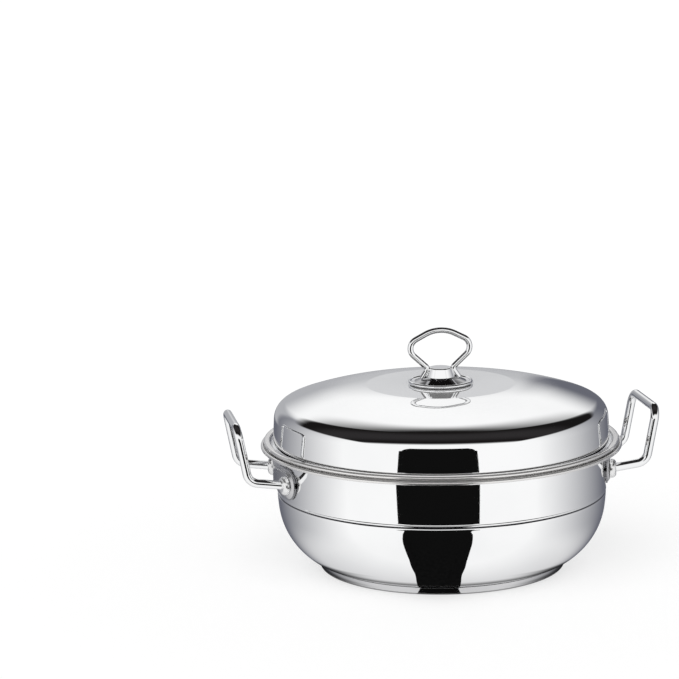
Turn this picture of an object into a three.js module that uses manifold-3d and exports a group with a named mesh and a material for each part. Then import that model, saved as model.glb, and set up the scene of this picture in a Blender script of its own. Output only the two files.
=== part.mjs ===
// A steamer pot: a steel pan with a sandwich base and two wire handles, a domed lid with a wire knob,
// and a stack of two steaming plates that stand on black moulded tees. Millimetres, +Z up.
// The origin is the centre of the base's underside, and +X runs to the right-hand handle.
import * as THREE from "three";
import { mergeVertices } from "three/addons/utils/BufferGeometryUtils.js";
import Module from "manifold-3d";

// Clearance and facets
const GAP = 0.3; // kept between pieces that touch
const ROUND = 44; // facets round the pot, the lid and the base
const PLATE_ROUND = 36; // facets round a steaming plate
const WIRE_ROUND = 8; // facets round a bent wire

// Pot
const SHEET = 0.9; // thickness of the pot's steel
const WALL_R = 121.6; // outside of the straight upper wall
const POT_H = 94.1; // top of the rolled rim
const BOWL_TOP_Z = 52; // height at which the bowl is widest
const BOWL_INSET = 0.2; // how much narrower the bowl is than the wall
const STEP_H = 3.2; // from the widest bowl up to the bottom of the pressed step
const STEP_RISE = 1.8; // height of the step's slope
const STEP_DEPTH = 1.2; // how far the step is pressed in
const FOOT_R = 97; // where the bowl's curve ends and the turn into the floor begins
const FOOT_RISE = 3; // height of that turn above the floor
const RIM_OUT = 12.4; // how far the rim stands out from the wall
const BEAD = 3.6; // thickness of the rolled rim
const FLARE_R = 4; // bend from the wall into the flange

// Base
const BASE_R = 91;
const CAP_SHEET = 0.7;
const CORE_T = 3.8; // aluminium heat spreader

// Handles
const WIRE_D = 6;
const HANDLE_SPAN = 64.4; // between the two legs of one handle
const HANDLE_DROP = 21.5; // from the rim down to the legs' feet
const HANDLE_OUT = 26.6; // from the wall out to the lower bend
const HANDLE_LIFT = 3.6; // rise of a leg from its foot to the lower bend
const HANDLE_RISE = 39.6; // from the lower bend up to the grip
const HANDLE_LEAN = 7.9; // how far the grip stands out beyond the lower bend
const HANDLE_BEND_R = 9;
const BRACKET_H = 23;
const BRACKET_OVER = 23; // bracket length beyond the span of the legs
const BRACKET_SHEET = 1.2;
const BRACKET_PROUD = 3.2; // height of the raised pad over the wall
const BRACKET_BORDER = 4; // flat border round the pad
const COLLAR_D = 14;
const COLLAR_T = 4.2;
const COLLAR_EDGE = 1.4; // height of its upright edge

// Lid
const LID_SHEET = 0.8;
const LID_BEAD = 3.3; // thickness of the lid's rolled rim
const LID_PLAY = 1; // sideways play of the lid's gutter inside the pot's rim
const GUTTER_W = 3.3; // open width of the gutter round the lid's wall
const GUTTER_SLOPE = 0.9; // run of the gutter's outer side
const LID_WALL_H = 17.4; // from the underside of the lid's flange to the top of its wall
const LID_DRAFT = 1; // how much the wall narrows upwards
const SHOULDER_R = 13;
const SHOULDER_TURN = 71; // degrees through which the shoulder turns
const LID_H = 41.6; // from the underside of the lid's flange to the crown
const CROWN_R = 55; // flat disc in the middle

// Knob
const KNOB_WIRE_D = 4;
const DISH_R = 23.9;
const DISH_SHEET = 1;
const DISH_EDGE = 2; // thickness of the dish's rolled edge
const DISH_RISE = 2.6; // middle of the rolled edge above the crown
const BELL_H = 9.6; // flat top of the bell above the dish's floor
const LEG_SPREAD = 13.7; // half the distance between the loop's feet
const LEG_FOOT_Z = 4.5; // feet of the loop above the crown
const NECK_X = 9;
const NECK_Z = 11.5;
const LOOP_SIDE_X = 27.7; // corner of the loop, before it is rounded
const LOOP_SIDE_Z = 28.8;
const LOOP_TOP_Z = 43.4; // peak of the loop, before it is rounded
const NECK_BEND_R = 3;
const LOOP_SIDE_BEND_R = 7.6;
const LOOP_TOP_BEND_R = 24;

// Steaming plates
const PLATE_SHEET = 0.8;
const PLATE_R = 98; // outside of the plate's wall
const PLATE_FLOOR_Z = 12.5; // underside of the floor above the tees' feet
const PLATE_WALL_H = 14.7;
const PLATE_FILLET = 6; // turn from floor to wall
const TEE_COUNT = 3;
const TEE_ANGLE = 90; // direction of the first tee, degrees from +X
const TEE_H = 36;
const STEM_T = 6.2; // thickness of a tee's stem, outwards
const STEM_W = 13;
const FOOT_W = 15;
const FOOT_IN = 6; // reach of the foot under the plate
const FOOT_T = 5;
const FOOT_CHAMFER = 3.5; // run of the slope that meets the pot's bowl
const BAR_L = 42;
const BAR_IN = 4.5; // reach of the cross-bar over the plate's rim
const BAR_OUT = 2;
const BAR_EDGE = 1.5; // bevel along the cross-bar
const TEE_FILLET = 4;
const RIVET_D = 3.2;
const RIVET_HEAD_D = 6.4;
const RIVET_HEAD_T = 1.5;
const RIVET_CROWN_D = 4.2; // flat on top of the head
const RIVET_TAIL_D = 5.2;
const RIVET_TAIL_T = 1;
const RIVET_ROUND = 8;

// Cups of the upper plate, holes of both plates
const CUP_WEB = 5; // flat between two cups
const CUP_MARGIN = 4; // flat between the outer cups and the plate's turn
const CUP_DEPTH = 10.5;
const CUP_FLOOR_R = 12; // flat bottom of a cup
const CUP_ROUND = 12;
const CUP_SIDE_STEPS = 2;
const CUPS_ROUND_THE_MIDDLE = 6;
const CUP_HOLES = 3;
const CUP_HOLE_D = 3.4;
const CUP_HOLE_RING = 6.5;
const STEAM_HOLE_D = 6;
const STEAM_HOLE_PITCH = 27;
const STEAM_HOLE_ROUND = 6;

const wasm = await Module();
wasm.setup();

const v2 = (x, y) => new THREE.Vector2(x, y);
const v3 = (x, y, z) => new THREE.Vector3(x, y, z);
const rad = THREE.MathUtils.degToRad;

// Points of a circular arc, angles in degrees.
function arc(cx, cy, radius, from, to, steps) {
  return Array.from({ length: steps + 1 }, (_, i) => {
    const a = rad(from + ((to - from) * i) / steps);
    return v2(cx + radius * Math.cos(a), cy + radius * Math.sin(a));
  });
}

// A solid of revolution about +Z from a profile of (radius, height) points.
function revolve(points, segments) {
  const profile = THREE.ShapeUtils.area(points) < 0 ? [...points].reverse() : points;
  return new THREE.LatheGeometry(profile, segments).rotateX(Math.PI / 2);
}

// A ring: its profile closes on itself.
function revolveRing(points, segments) {
  return revolve([...points, points[0].clone()], segments);
}

// A plain rod about +Z.
function rod(radius, bottom, top, segments) {
  return revolve([v2(0, bottom), v2(radius, bottom), v2(radius, top), v2(0, top)], segments);
}

function prism(shape, depth, curveSegments) {
  return new THREE.ExtrudeGeometry(shape, { depth, bevelEnabled: false, curveSegments });
}

// Joining and cutting
function solidOf(geometry) {
  const bare = geometry.clone();
  bare.deleteAttribute("normal");
  bare.deleteAttribute("uv");
  const merged = mergeVertices(bare, 1e-4);
  return new wasm.Manifold(
    new wasm.Mesh({
      numProp: 3,
      vertProperties: merged.attributes.position.array,
      triVerts: new Uint32Array(merged.index.array),
    }),
  );
}

function geometryOf(solid) {
  const made = solid.getMesh();
  const geometry = new THREE.BufferGeometry();
  geometry.setAttribute("position", new THREE.BufferAttribute(made.vertProperties, made.numProp));
  geometry.setIndex(new THREE.BufferAttribute(made.triVerts, 1));
  geometry.computeVertexNormals();
  return geometry;
}

const joined = (solids) => solids.reduce((all, one) => all.add(one));

// The centreline of a bent wire: straight runs between corners, each corner rounded to its own radius.
// Its stations lie at the ends of the runs and along the bends, so straight runs stay single steps.
class BentWire extends THREE.Curve {
  constructor(corners, radii, bendSteps) {
    super();
    this.stations = [];
    const last = corners.length - 1;
    corners.forEach((corner, i) => {
      const before = i ? corner.clone().sub(corners[i - 1]).normalize() : null;
      const after = i < last ? corners[i + 1].clone().sub(corner).normalize() : null;
      if (!before || !after) {
        this.stations.push({ point: corner, tangent: after ?? before });
        return;
      }
      this.addBend(corner, before, after, radii[i - 1], bendSteps);
    });
  }

  addBend(corner, before, after, radius, bendSteps) {
    const turn = before.angleTo(after);
    const start = corner.clone().addScaledVector(before, -radius * Math.tan(turn / 2));
    const axis = before.clone().cross(after).normalize();
    const centre = start.clone().addScaledVector(axis.clone().cross(before), radius);
    for (let step = 0; step <= bendSteps; step++) {
      const angle = (turn * step) / bendSteps;
      const point = start.clone().sub(centre).applyAxisAngle(axis, angle).add(centre);
      this.stations.push({ point, tangent: before.clone().applyAxisAngle(axis, angle) });
    }
  }

  get steps() {
    return this.stations.length - 1;
  }

  stationAt(u) {
    return this.stations[Math.round(u * this.steps)];
  }

  getPoint(u) {
    return this.stationAt(u).point.clone();
  }

  getPointAt(u) {
    return this.getPoint(u);
  }

  getTangentAt(u) {
    return this.stationAt(u).tangent.clone();
  }
}

function wireAlong(centreline, diameter) {
  const section = new THREE.Shape(arc(0, 0, diameter / 2, 0, 360, WIRE_ROUND).slice(1));
  return new THREE.ExtrudeGeometry(section, { steps: centreline.steps, extrudePath: centreline });
}

// Materials
const metal = (color, roughness) =>
  new THREE.MeshStandardMaterial({ color, roughness, metalness: 1 });
const mirrorSteel = metal(0xd4d6d8, 0.06);
const wireSteel = metal(0xcdcfd1, 0.1);
const plateSteel = metal(0xc9cbcd, 0.18);
const spreaderAluminium = metal(0xb9bcc0, 0.5);
const blackMoulding = new THREE.MeshStandardMaterial({ color: 0x161616, roughness: 0.45, metalness: 0 });

function piece(name, geometry, material) {
  const mesh = new THREE.Mesh(geometry, material);
  mesh.name = name;
  return mesh;
}

// Levels of the base and the pot's floor
const coreBottomZ = CAP_SHEET + GAP;
const floorZ = coreBottomZ + CORE_T + GAP;

// The bowl's outer curve is upright at its widest and ends where the turn into the floor begins.
const bowlR = WALL_R - BOWL_INSET;
const footZ = floorZ + FOOT_RISE;
const bowlRun = bowlR - FOOT_R;
const bowlDrop = BOWL_TOP_Z - footZ;
const bowlRadius = (bowlRun ** 2 + bowlDrop ** 2) / (2 * bowlRun);
const bowlCentre = v2(bowlR - bowlRadius, BOWL_TOP_Z);
const footSlope = Math.atan2(FOOT_R - bowlCentre.x, bowlDrop);
const turnRadius = FOOT_RISE / (1 - Math.cos(footSlope));
const turnCentre = v2(FOOT_R - turnRadius * Math.sin(footSlope), floorZ + turnRadius);

// Height of the bowl at a radius: the outside, or the inside for an inset of one sheet.
function bowlHeight(radius, inset) {
  if (radius <= turnCentre.x) return floorZ + inset;
  const inTurn = radius - turnCentre.x < (turnRadius - inset) * Math.sin(footSlope);
  const centre = inTurn ? turnCentre : bowlCentre;
  const curve = (inTurn ? turnRadius : bowlRadius) - inset;
  return centre.y - Math.sqrt(curve ** 2 - (radius - centre.x) ** 2);
}

// One face of the bowl and wall, from the axis up to the flange.
const flangeZ = POT_H - BEAD;
const TURN_STEPS = 2;
const BOWL_STEPS = 5;
const FLARE_STEPS = 2;
const slopeDegrees = THREE.MathUtils.radToDeg(footSlope);
function potFace(inset) {
  const stepZ = BOWL_TOP_Z + STEP_H;
  return [
    v2(0, floorZ + inset),
    ...arc(turnCentre.x, turnCentre.y, turnRadius - inset, -90, slopeDegrees - 90, TURN_STEPS),
    ...arc(bowlCentre.x, bowlCentre.y, bowlRadius - inset, slopeDegrees - 90, 0, BOWL_STEPS).slice(1),
    v2(WALL_R - inset - STEP_DEPTH, stepZ),
    v2(WALL_R - inset, stepZ + STEP_RISE),
    ...arc(WALL_R + FLARE_R, flangeZ - FLARE_R, FLARE_R + inset, 180, 90, FLARE_STEPS),
  ];
}

// The rolled rim is a bead at the edge of the flange, standing up from it.
const rimR = WALL_R + RIM_OUT;
const BEAD_STEPS = 5;
const beadLeave = THREE.MathUtils.radToDeg(Math.asin(1 - (2 * SHEET) / BEAD));
const beadInnerR = rimR - (BEAD / 2) * (1 + Math.cos(rad(beadLeave)));
function makePotBody() {
  const bead = arc(rimR - BEAD / 2, flangeZ + BEAD / 2, BEAD / 2, -90, 180 + beadLeave, BEAD_STEPS);
  const profile = [...potFace(0), ...bead, ...potFace(SHEET).reverse()];
  return piece("pot_body", revolve(profile, ROUND), mirrorSteel);
}

function makeBase() {
  const capInnerR = BASE_R - CAP_SHEET;
  const capTopZ = bowlHeight(capInnerR, 0) - GAP;
  const cap = [
    v2(0, 0),
    v2(BASE_R - CAP_SHEET, 0),
    v2(BASE_R, CAP_SHEET),
    v2(BASE_R, capTopZ),
    v2(capInnerR, capTopZ),
    v2(capInnerR, CAP_SHEET),
    v2(0, CAP_SHEET),
  ];
  const core = rod(capInnerR - GAP, coreBottomZ, coreBottomZ + CORE_T, ROUND);
  return [
    piece("base_cap", revolve(cap, ROUND), mirrorSteel),
    piece("base_core", core, spreaderAluminium),
  ];
}

// A handle, modelled at the pot's right-hand side: a pressed bracket that follows the wall, a bent wire
// whose two legs stand on it, and a collar round the foot of each leg.
const bracketR = WALL_R + GAP + BRACKET_PROUD;
const handleZ = POT_H - HANDLE_DROP;
const legY = HANDLE_SPAN / 2;
const BRACKET_END_STEPS = 6;
const bendX = WALL_R + HANDLE_OUT;
const footX = Math.sqrt(bracketR ** 2 - legY ** 2);

// An upright oblong through the right-hand wall, looking along -X.
function oblongThroughWall(length, height) {
  const half = (length - height) / 2;
  const outline = new THREE.Shape();
  outline.absarc(half, 0, height / 2, -Math.PI / 2, Math.PI / 2, false);
  outline.absarc(-half, 0, height / 2, Math.PI / 2, (3 * Math.PI) / 2, false);
  const across = new THREE.Matrix4().makeBasis(v3(0, 1, 0), v3(0, 0, 1), v3(1, 0, 0));
  return prism(outline, rimR, BRACKET_END_STEPS).applyMatrix4(across).translate(0, 0, handleZ);
}

function wallBand(thickness) {
  const inner = WALL_R + GAP;
  const bottom = handleZ - BRACKET_H;
  const top = handleZ + BRACKET_H;
  const section = [
    v2(inner, bottom),
    v2(inner + thickness, bottom),
    v2(inner + thickness, top),
    v2(inner, top),
  ];
  return revolveRing(section, ROUND);
}

function makeBracket() {
  const length = HANDLE_SPAN + BRACKET_OVER;
  const padLength = length - 2 * BRACKET_BORDER;
  const padHeight = BRACKET_H - 2 * BRACKET_BORDER;
  const border = solidOf(wallBand(BRACKET_SHEET)).intersect(solidOf(oblongThroughWall(length, BRACKET_H)));
  const pad = solidOf(wallBand(BRACKET_PROUD)).intersect(solidOf(oblongThroughWall(padLength, padHeight)));
  return geometryOf(border.add(pad));
}

// The leg's line from inside the wall out through its collar.
function legLine(y) {
  const bend = v3(bendX, y, handleZ + HANDLE_LIFT);
  const foot = v3(footX, y, handleZ);
  const inwards = foot.clone().sub(bend).normalize();
  return { bend, start: foot.clone().addScaledVector(inwards, WIRE_D) };
}

const BEND_STEPS = 4;
function makeHandleWire() {
  const front = legLine(-legY);
  const back = legLine(legY);
  const grip = (y) => v3(bendX + HANDLE_LEAN, y, handleZ + HANDLE_LIFT + HANDLE_RISE);
  const corners = [front.start, front.bend, grip(-legY), grip(legY), back.bend, back.start];
  const radii = corners.slice(1, -1).fill(HANDLE_BEND_R);
  const wire = wireAlong(new BentWire(corners, radii, BEND_STEPS), WIRE_D);
  const inside = rod(bracketR + GAP, 0, POT_H + HANDLE_RISE, ROUND);
  return geometryOf(solidOf(wire).subtract(solidOf(inside)));
}

const COLLAR_ROUND = 10;
function makeCollar(y) {
  const lens = revolve(
    [
      v2(0, GAP),
      v2(COLLAR_D / 2, GAP),
      v2(COLLAR_D / 2, GAP + COLLAR_EDGE),
      v2(WIRE_D / 2 + 2 * GAP, GAP + COLLAR_T),
      v2(0, GAP + COLLAR_T),
    ],
    COLLAR_ROUND,
  );
  const direction = v3(footX, y, 0).normalize();
  const facing = new THREE.Quaternion().setFromUnitVectors(v3(0, 0, 1), direction);
  lens.applyQuaternion(facing).translate(footX, y, handleZ);
  const { start, bend } = legLine(y);
  const along = bend.clone().sub(start);
  const bore = rod(WIRE_D / 2 + GAP, 0, along.length(), COLLAR_ROUND);
  bore.applyQuaternion(new THREE.Quaternion().setFromUnitVectors(v3(0, 0, 1), along.normalize()));
  bore.translate(start.x, start.y, start.z);
  return geometryOf(solidOf(lens).subtract(solidOf(bore)));
}

function makeHandle(side, turn) {
  const handle = new THREE.Group();
  handle.rotation.z = turn;
  handle.add(piece(side + "_handle_bracket", makeBracket(), mirrorSteel));
  handle.add(piece(side + "_handle_wire", makeHandleWire(), wireSteel));
  handle.add(piece(side + "_handle_collar_1", makeCollar(-legY), wireSteel));
  handle.add(piece(side + "_handle_collar_2", makeCollar(legY), wireSteel));
  return handle;
}

// The lid's rolled rim rests on the pot's, and the gutter inside it drops onto the pot's flange.
const lidZ = POT_H + GAP;
const crownZ = lidZ + LID_H;
const gutterZ = flangeZ + SHEET + GAP;
const gutterR = beadInnerR - LID_PLAY;
const lidWallR = gutterR - GUTTER_SLOPE - LID_SHEET - GUTTER_W;
const SHOULDER_STEPS = 3;
const DOME_STEPS = 3;

// One face of the lid's wall, shoulder, dome and crown, from the wall's foot in to the axis.
// The dome leaves the shoulder without a kink and ends at the edge of the flat crown.
function lidFace(inset) {
  const shoulder = v2(lidWallR - LID_DRAFT - SHOULDER_R, lidZ + LID_WALL_H);
  const out = v2(Math.cos(rad(SHOULDER_TURN)), Math.sin(rad(SHOULDER_TURN)));
  const domeStart = shoulder.clone().addScaledVector(out, SHOULDER_R);
  const chord = domeStart.clone().sub(v2(CROWN_R, crownZ));
  const domeRadius = chord.lengthSq() / (2 * chord.dot(out));
  const dome = domeStart.clone().addScaledVector(out, -domeRadius);
  const crownAngle = THREE.MathUtils.radToDeg(Math.atan2(crownZ - dome.y, CROWN_R - dome.x));
  const domeArc = arc(dome.x, dome.y, domeRadius - inset, SHOULDER_TURN, crownAngle, DOME_STEPS);
  return [
    ...arc(shoulder.x, shoulder.y, SHOULDER_R - inset, 0, SHOULDER_TURN, SHOULDER_STEPS),
    ...domeArc.slice(1, -1),
    v2(CROWN_R, crownZ - inset),
    v2(0, crownZ - inset),
  ];
}

function makeLidShell() {
  const bead = LID_BEAD / 2;
  const leave = THREE.MathUtils.radToDeg(Math.asin(1 - LID_SHEET / bead));
  const gutterFloorR = gutterR - GUTTER_SLOPE;
  const underside = [
    ...lidFace(LID_SHEET).reverse(),
    v2(lidWallR - LID_SHEET, gutterZ + LID_SHEET),
    v2(lidWallR, gutterZ),
    v2(gutterFloorR, gutterZ),
    v2(gutterR, lidZ),
  ];
  const topside = [
    v2(gutterR - LID_SHEET / 2, lidZ + LID_SHEET),
    v2(gutterFloorR - LID_SHEET, gutterZ + LID_SHEET),
    v2(lidWallR + LID_SHEET / 2, gutterZ + LID_SHEET),
    v2(lidWallR, gutterZ + 2 * LID_SHEET),
    ...lidFace(0),
  ];
  const rim = arc(rimR - bead, lidZ + bead, bead, -90, 180 + leave, BEAD_STEPS);
  return piece("lid_shell", revolve([...underside, ...rim, ...topside], ROUND), mirrorSteel);
}

// The knob: a spun dish whose middle rises into a bell, and a wire loop whose legs straddle the bell.
const KNOB_ROUND = 24;
const EDGE_STEPS = 4;
const EDGE_TURN = 150; // degrees at which the dish's edge rolls over into its inside
const dishFloorZ = crownZ + GAP + DISH_SHEET;
function makeKnobBase() {
  const wireHalf = KNOB_WIRE_D / 2;
  const leg = v2(LEG_SPREAD - NECK_X, LEG_FOOT_Z - NECK_Z);
  const inward = v2(leg.y, -leg.x).normalize();
  const bellNeck = v2(NECK_X, crownZ + NECK_Z).addScaledVector(inward, wireHalf + GAP);
  const bellFoot = bellNeck.clone().add(leg);
  const bellTopZ = dishFloorZ + BELL_H;
  const bellTopR = bellNeck.x + ((bellTopZ - bellNeck.y) * leg.x) / leg.y;
  const edgeZ = crownZ + DISH_RISE;
  const half = DISH_EDGE / 2;
  const edge = arc(DISH_R - half, edgeZ, half, -90, EDGE_TURN, EDGE_STEPS);
  const profile = [
    v2(0, crownZ + GAP),
    v2(LEG_SPREAD + wireHalf, crownZ + GAP),
    ...edge,
    v2(LEG_SPREAD, dishFloorZ),
    bellFoot,
    v2(bellTopR, bellTopZ - GAP),
    v2(bellTopR - GAP, bellTopZ),
    v2(0, bellTopZ),
  ];
  return piece("knob_base", revolve(profile, KNOB_ROUND), mirrorSteel);
}

function makeKnobLoop() {
  const at = (x, z) => v3(x, 0, crownZ + z);
  const half = [
    [LEG_SPREAD, LEG_FOOT_Z],
    [NECK_X, NECK_Z],
    [LOOP_SIDE_X, LOOP_SIDE_Z],
  ];
  const right = half.map(([x, z]) => at(x, z));
  const left = half.map(([x, z]) => at(-x, z)).reverse();
  const corners = [...right, at(0, LOOP_TOP_Z), ...left];
  const radii = [NECK_BEND_R, LOOP_SIDE_BEND_R, LOOP_TOP_BEND_R, LOOP_SIDE_BEND_R, NECK_BEND_R];
  const loop = wireAlong(new BentWire(corners, radii, BEND_STEPS), KNOB_WIRE_D);
  return piece("knob_loop", loop, wireSteel);
}

// A steaming plate, in its own frame: z = 0 is the underside of its tees' feet.
const stemInnerR = PLATE_R + GAP;
const stemOuterR = stemInnerR + STEM_T;
const footOuterR = stemOuterR - FOOT_CHAMFER;
const plateRimZ = PLATE_FLOOR_Z + PLATE_WALL_H;
const barZ = plateRimZ + GAP;
const rivetZ = PLATE_FLOOR_Z + PLATE_FILLET + RIVET_D / 2;

// Where a foot at this radius meets the inside of the bowl, allowing for its width and the bowl's facets.
function seatHeight(radius) {
  const corner = Math.hypot(radius, FOOT_W / 2) / Math.cos(Math.PI / ROUND);
  const facetTurn = rad((90 - slopeDegrees) / BOWL_STEPS);
  const facetDepth = bowlRadius * (1 - Math.cos(facetTurn / 2));
  return bowlHeight(corner + GAP, SHEET + facetDepth);
}

const FILLET_STEPS = 3;
function dishFilled(inset, topZ) {
  const wall = PLATE_R - inset;
  const centre = v2(PLATE_R - PLATE_FILLET, PLATE_FLOOR_Z + PLATE_FILLET);
  return revolve(
    [
      v2(0, PLATE_FLOOR_Z + inset),
      ...arc(centre.x, centre.y, PLATE_FILLET - inset, -90, 0, FILLET_STEPS),
      v2(wall, topZ),
      v2(0, topZ),
    ],
    PLATE_ROUND,
  );
}

const teeDirections = Array.from({ length: TEE_COUNT }, (_, i) => rad(TEE_ANGLE + (360 * i) / TEE_COUNT));

// A rod along a plate's radius, at the height of the rivets.
function rivetBore() {
  const bore = rod(RIVET_D / 2 + GAP, PLATE_R - PLATE_FILLET, stemOuterR + STEM_T, RIVET_ROUND);
  return bore.rotateY(Math.PI / 2).translate(0, 0, rivetZ);
}

function makeDish(cutters, cups) {
  const outside = [solidOf(dishFilled(0, plateRimZ)), ...cups.map((cup) => cup.outside)];
  const inside = [solidOf(dishFilled(PLATE_SHEET, plateRimZ + PLATE_SHEET)), ...cups.map((cup) => cup.inside)];
  const bores = teeDirections.map((turn) => solidOf(rivetBore().rotateZ(turn)));
  const shell = joined(outside).subtract(joined(inside));
  return geometryOf(shell.subtract(joined([...bores, ...cutters])));
}

const flatR = PLATE_R - PLATE_FILLET;
const cupR = (flatR - CUP_WEB - CUP_MARGIN) / 3 - PLATE_SHEET;
const cupRing = 2 * (cupR + PLATE_SHEET) + CUP_WEB;
const outerCups = Array.from({ length: CUPS_ROUND_THE_MIDDLE }, (_, i) =>
  v2(cupRing, 0).rotateAround(v2(0, 0), rad((360 * i) / CUPS_ROUND_THE_MIDDLE)),
);
const cupCentres = [v2(0, 0), ...outerCups];

function cupAt(centre) {
  const floorTop = PLATE_FLOOR_Z + PLATE_SHEET;
  const body = (inset, topZ) => {
    const bottomZ = PLATE_FLOOR_Z - CUP_DEPTH + inset;
    const mouthR = cupR + PLATE_SHEET - inset;
    const side = new THREE.QuadraticBezierCurve(
      v2(CUP_FLOOR_R, bottomZ),
      v2(mouthR, bottomZ),
      v2(mouthR, PLATE_FLOOR_Z + inset),
    );
    const profile = [v2(0, bottomZ), ...side.getPoints(CUP_SIDE_STEPS), v2(mouthR, topZ), v2(0, topZ)];
    return revolve(profile, CUP_ROUND).translate(centre.x, centre.y, 0);
  };
  return {
    outside: solidOf(body(0, floorTop)),
    inside: solidOf(body(PLATE_SHEET, floorTop + PLATE_SHEET)),
  };
}

function holeAt(x, y, diameter) {
  return solidOf(rod(diameter / 2, 0, plateRimZ, STEAM_HOLE_ROUND).translate(x, y, 0));
}

function cupHoles(centre) {
  return Array.from({ length: CUP_HOLES }, (_, i) => {
    const a = rad((360 * i) / CUP_HOLES + 90);
    const x = centre.x + CUP_HOLE_RING * Math.cos(a);
    const y = centre.y + CUP_HOLE_RING * Math.sin(a);
    return holeAt(x, y, CUP_HOLE_D);
  });
}

// One hole in the middle, then rings of six, twelve, eighteen and so on.
function steamHoles() {
  const holes = [holeAt(0, 0, STEAM_HOLE_D)];
  const rings = Math.floor((flatR - STEAM_HOLE_D) / STEAM_HOLE_PITCH);
  for (let ring = 1; ring <= rings; ring++) {
    const radius = ring * STEAM_HOLE_PITCH;
    for (let i = 0; i < 6 * ring; i++) {
      const a = (Math.PI * i) / (3 * ring);
      holes.push(holeAt(radius * Math.cos(a), radius * Math.sin(a), STEAM_HOLE_D));
    }
  }
  return holes;
}

const TEE_STEPS = 3;

// A tee along +X: its front outline, seen along the plate's radius, meets its side outline.
function teeFront() {
  const outline = new THREE.Shape();
  const stem = STEM_W / 2;
  const end = (TEE_H - barZ) / 2;
  const bar = BAR_L / 2 - end;
  outline.moveTo(-FOOT_W / 2, 0);
  outline.lineTo(FOOT_W / 2, 0);
  outline.lineTo(stem, FOOT_T + FOOT_CHAMFER);
  outline.lineTo(stem, barZ - TEE_FILLET);
  outline.quadraticCurveTo(stem, barZ, stem + TEE_FILLET, barZ);
  outline.absarc(bar, barZ + end, end, -Math.PI / 2, Math.PI / 2, false);
  outline.absarc(-bar, barZ + end, end, Math.PI / 2, (3 * Math.PI) / 2, false);
  outline.lineTo(-stem - TEE_FILLET, barZ);
  outline.quadraticCurveTo(-stem, barZ, -stem, barZ - TEE_FILLET);
  outline.lineTo(-stem, FOOT_T + FOOT_CHAMFER);
  return outline;
}

function teeSide() {
  const barInnerR = PLATE_R - BAR_IN;
  const barOuterR = stemOuterR + BAR_OUT;
  const footInnerR = PLATE_R - FOOT_IN;
  const chamferZ = seatHeight(stemOuterR) - seatHeight(footOuterR);
  return new THREE.Shape([
    v2(footInnerR, 0),
    v2(footOuterR, 0),
    v2(stemOuterR, chamferZ),
    v2(stemOuterR, rivetZ + RIVET_HEAD_D / 2 + GAP),
    v2(barOuterR, barZ + BAR_EDGE),
    v2(barOuterR, TEE_H - BAR_EDGE),
    v2(barOuterR - BAR_EDGE, TEE_H),
    v2(barInnerR + BAR_EDGE, TEE_H),
    v2(barInnerR, TEE_H - BAR_EDGE),
    v2(barInnerR, barZ),
    v2(stemInnerR, barZ),
    v2(stemInnerR, PLATE_FLOOR_Z + PLATE_FILLET / 2),
    v2(footInnerR, FOOT_T),
  ]);
}

function makeTee() {
  const outwards = new THREE.Matrix4().makeBasis(v3(0, 1, 0), v3(0, 0, 1), v3(1, 0, 0));
  const front = prism(teeFront(), stemOuterR + STEM_T, TEE_STEPS).applyMatrix4(outwards);
  const side = prism(teeSide(), BAR_L + STEM_W, TEE_STEPS);
  side.rotateX(Math.PI / 2).translate(0, (BAR_L + STEM_W) / 2, 0);
  return geometryOf(solidOf(front).intersect(solidOf(side)).subtract(solidOf(rivetBore())));
}

function makeRivet() {
  const tailZ = PLATE_R - PLATE_SHEET - GAP;
  const headZ = stemOuterR + GAP;
  const rivet = revolve(
    [
      v2(0, tailZ - RIVET_TAIL_T),
      v2(RIVET_TAIL_D / 2, tailZ - RIVET_TAIL_T),
      v2(RIVET_TAIL_D / 2, tailZ),
      v2(RIVET_D / 2, tailZ),
      v2(RIVET_D / 2, headZ),
      v2(RIVET_HEAD_D / 2, headZ),
      v2(RIVET_CROWN_D / 2, headZ + RIVET_HEAD_T),
      v2(0, headZ + RIVET_HEAD_T),
    ],
    RIVET_ROUND,
  );
  return rivet.rotateY(Math.PI / 2).translate(0, 0, rivetZ);
}

function makePlate(name, baseZ, dish) {
  const plate = new THREE.Group();
  plate.position.z = baseZ;
  plate.add(piece(name + "_dish", dish, plateSteel));
  teeDirections.forEach((turn, i) => {
    const arm = new THREE.Group();
    arm.rotation.z = turn;
    arm.add(piece(`${name}_tee_${i + 1}`, makeTee(), blackMoulding));
    arm.add(piece(`${name}_rivet_${i + 1}`, makeRivet(), wireSteel));
    plate.add(arm);
  });
  return plate;
}

// The lower plate's feet stand on the slope of the bowl, the upper plate's on the lower one's tees.
const lowerPlateZ = seatHeight(footOuterR);
const upperPlateZ = lowerPlateZ + TEE_H + GAP;

const steamer = new THREE.Group();
steamer.add(makePotBody(), ...makeBase());
steamer.add(makeHandle("right", 0), makeHandle("left", Math.PI));
steamer.add(makeLidShell(), makeKnobBase(), makeKnobLoop());
steamer.add(makePlate("lower_plate", lowerPlateZ, makeDish(steamHoles(), [])));
steamer.add(
  makePlate("upper_plate", upperPlateZ, makeDish(cupCentres.flatMap(cupHoles), cupCentres.map(cupAt))),
);

export default steamer;
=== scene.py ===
"""Looks for the steamer pot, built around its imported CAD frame.

Lengths are millimetres in the frame of the part: z = 0 is the underside of the base and +X runs to the
right-hand handle. They become metres once, when a mesh is made. Lengths marked m are metres.
"""

import math

import bpy
from mathutils import Matrix, Quaternion, Vector
from mathutils.geometry import delaunay_2d_cdt


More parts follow.
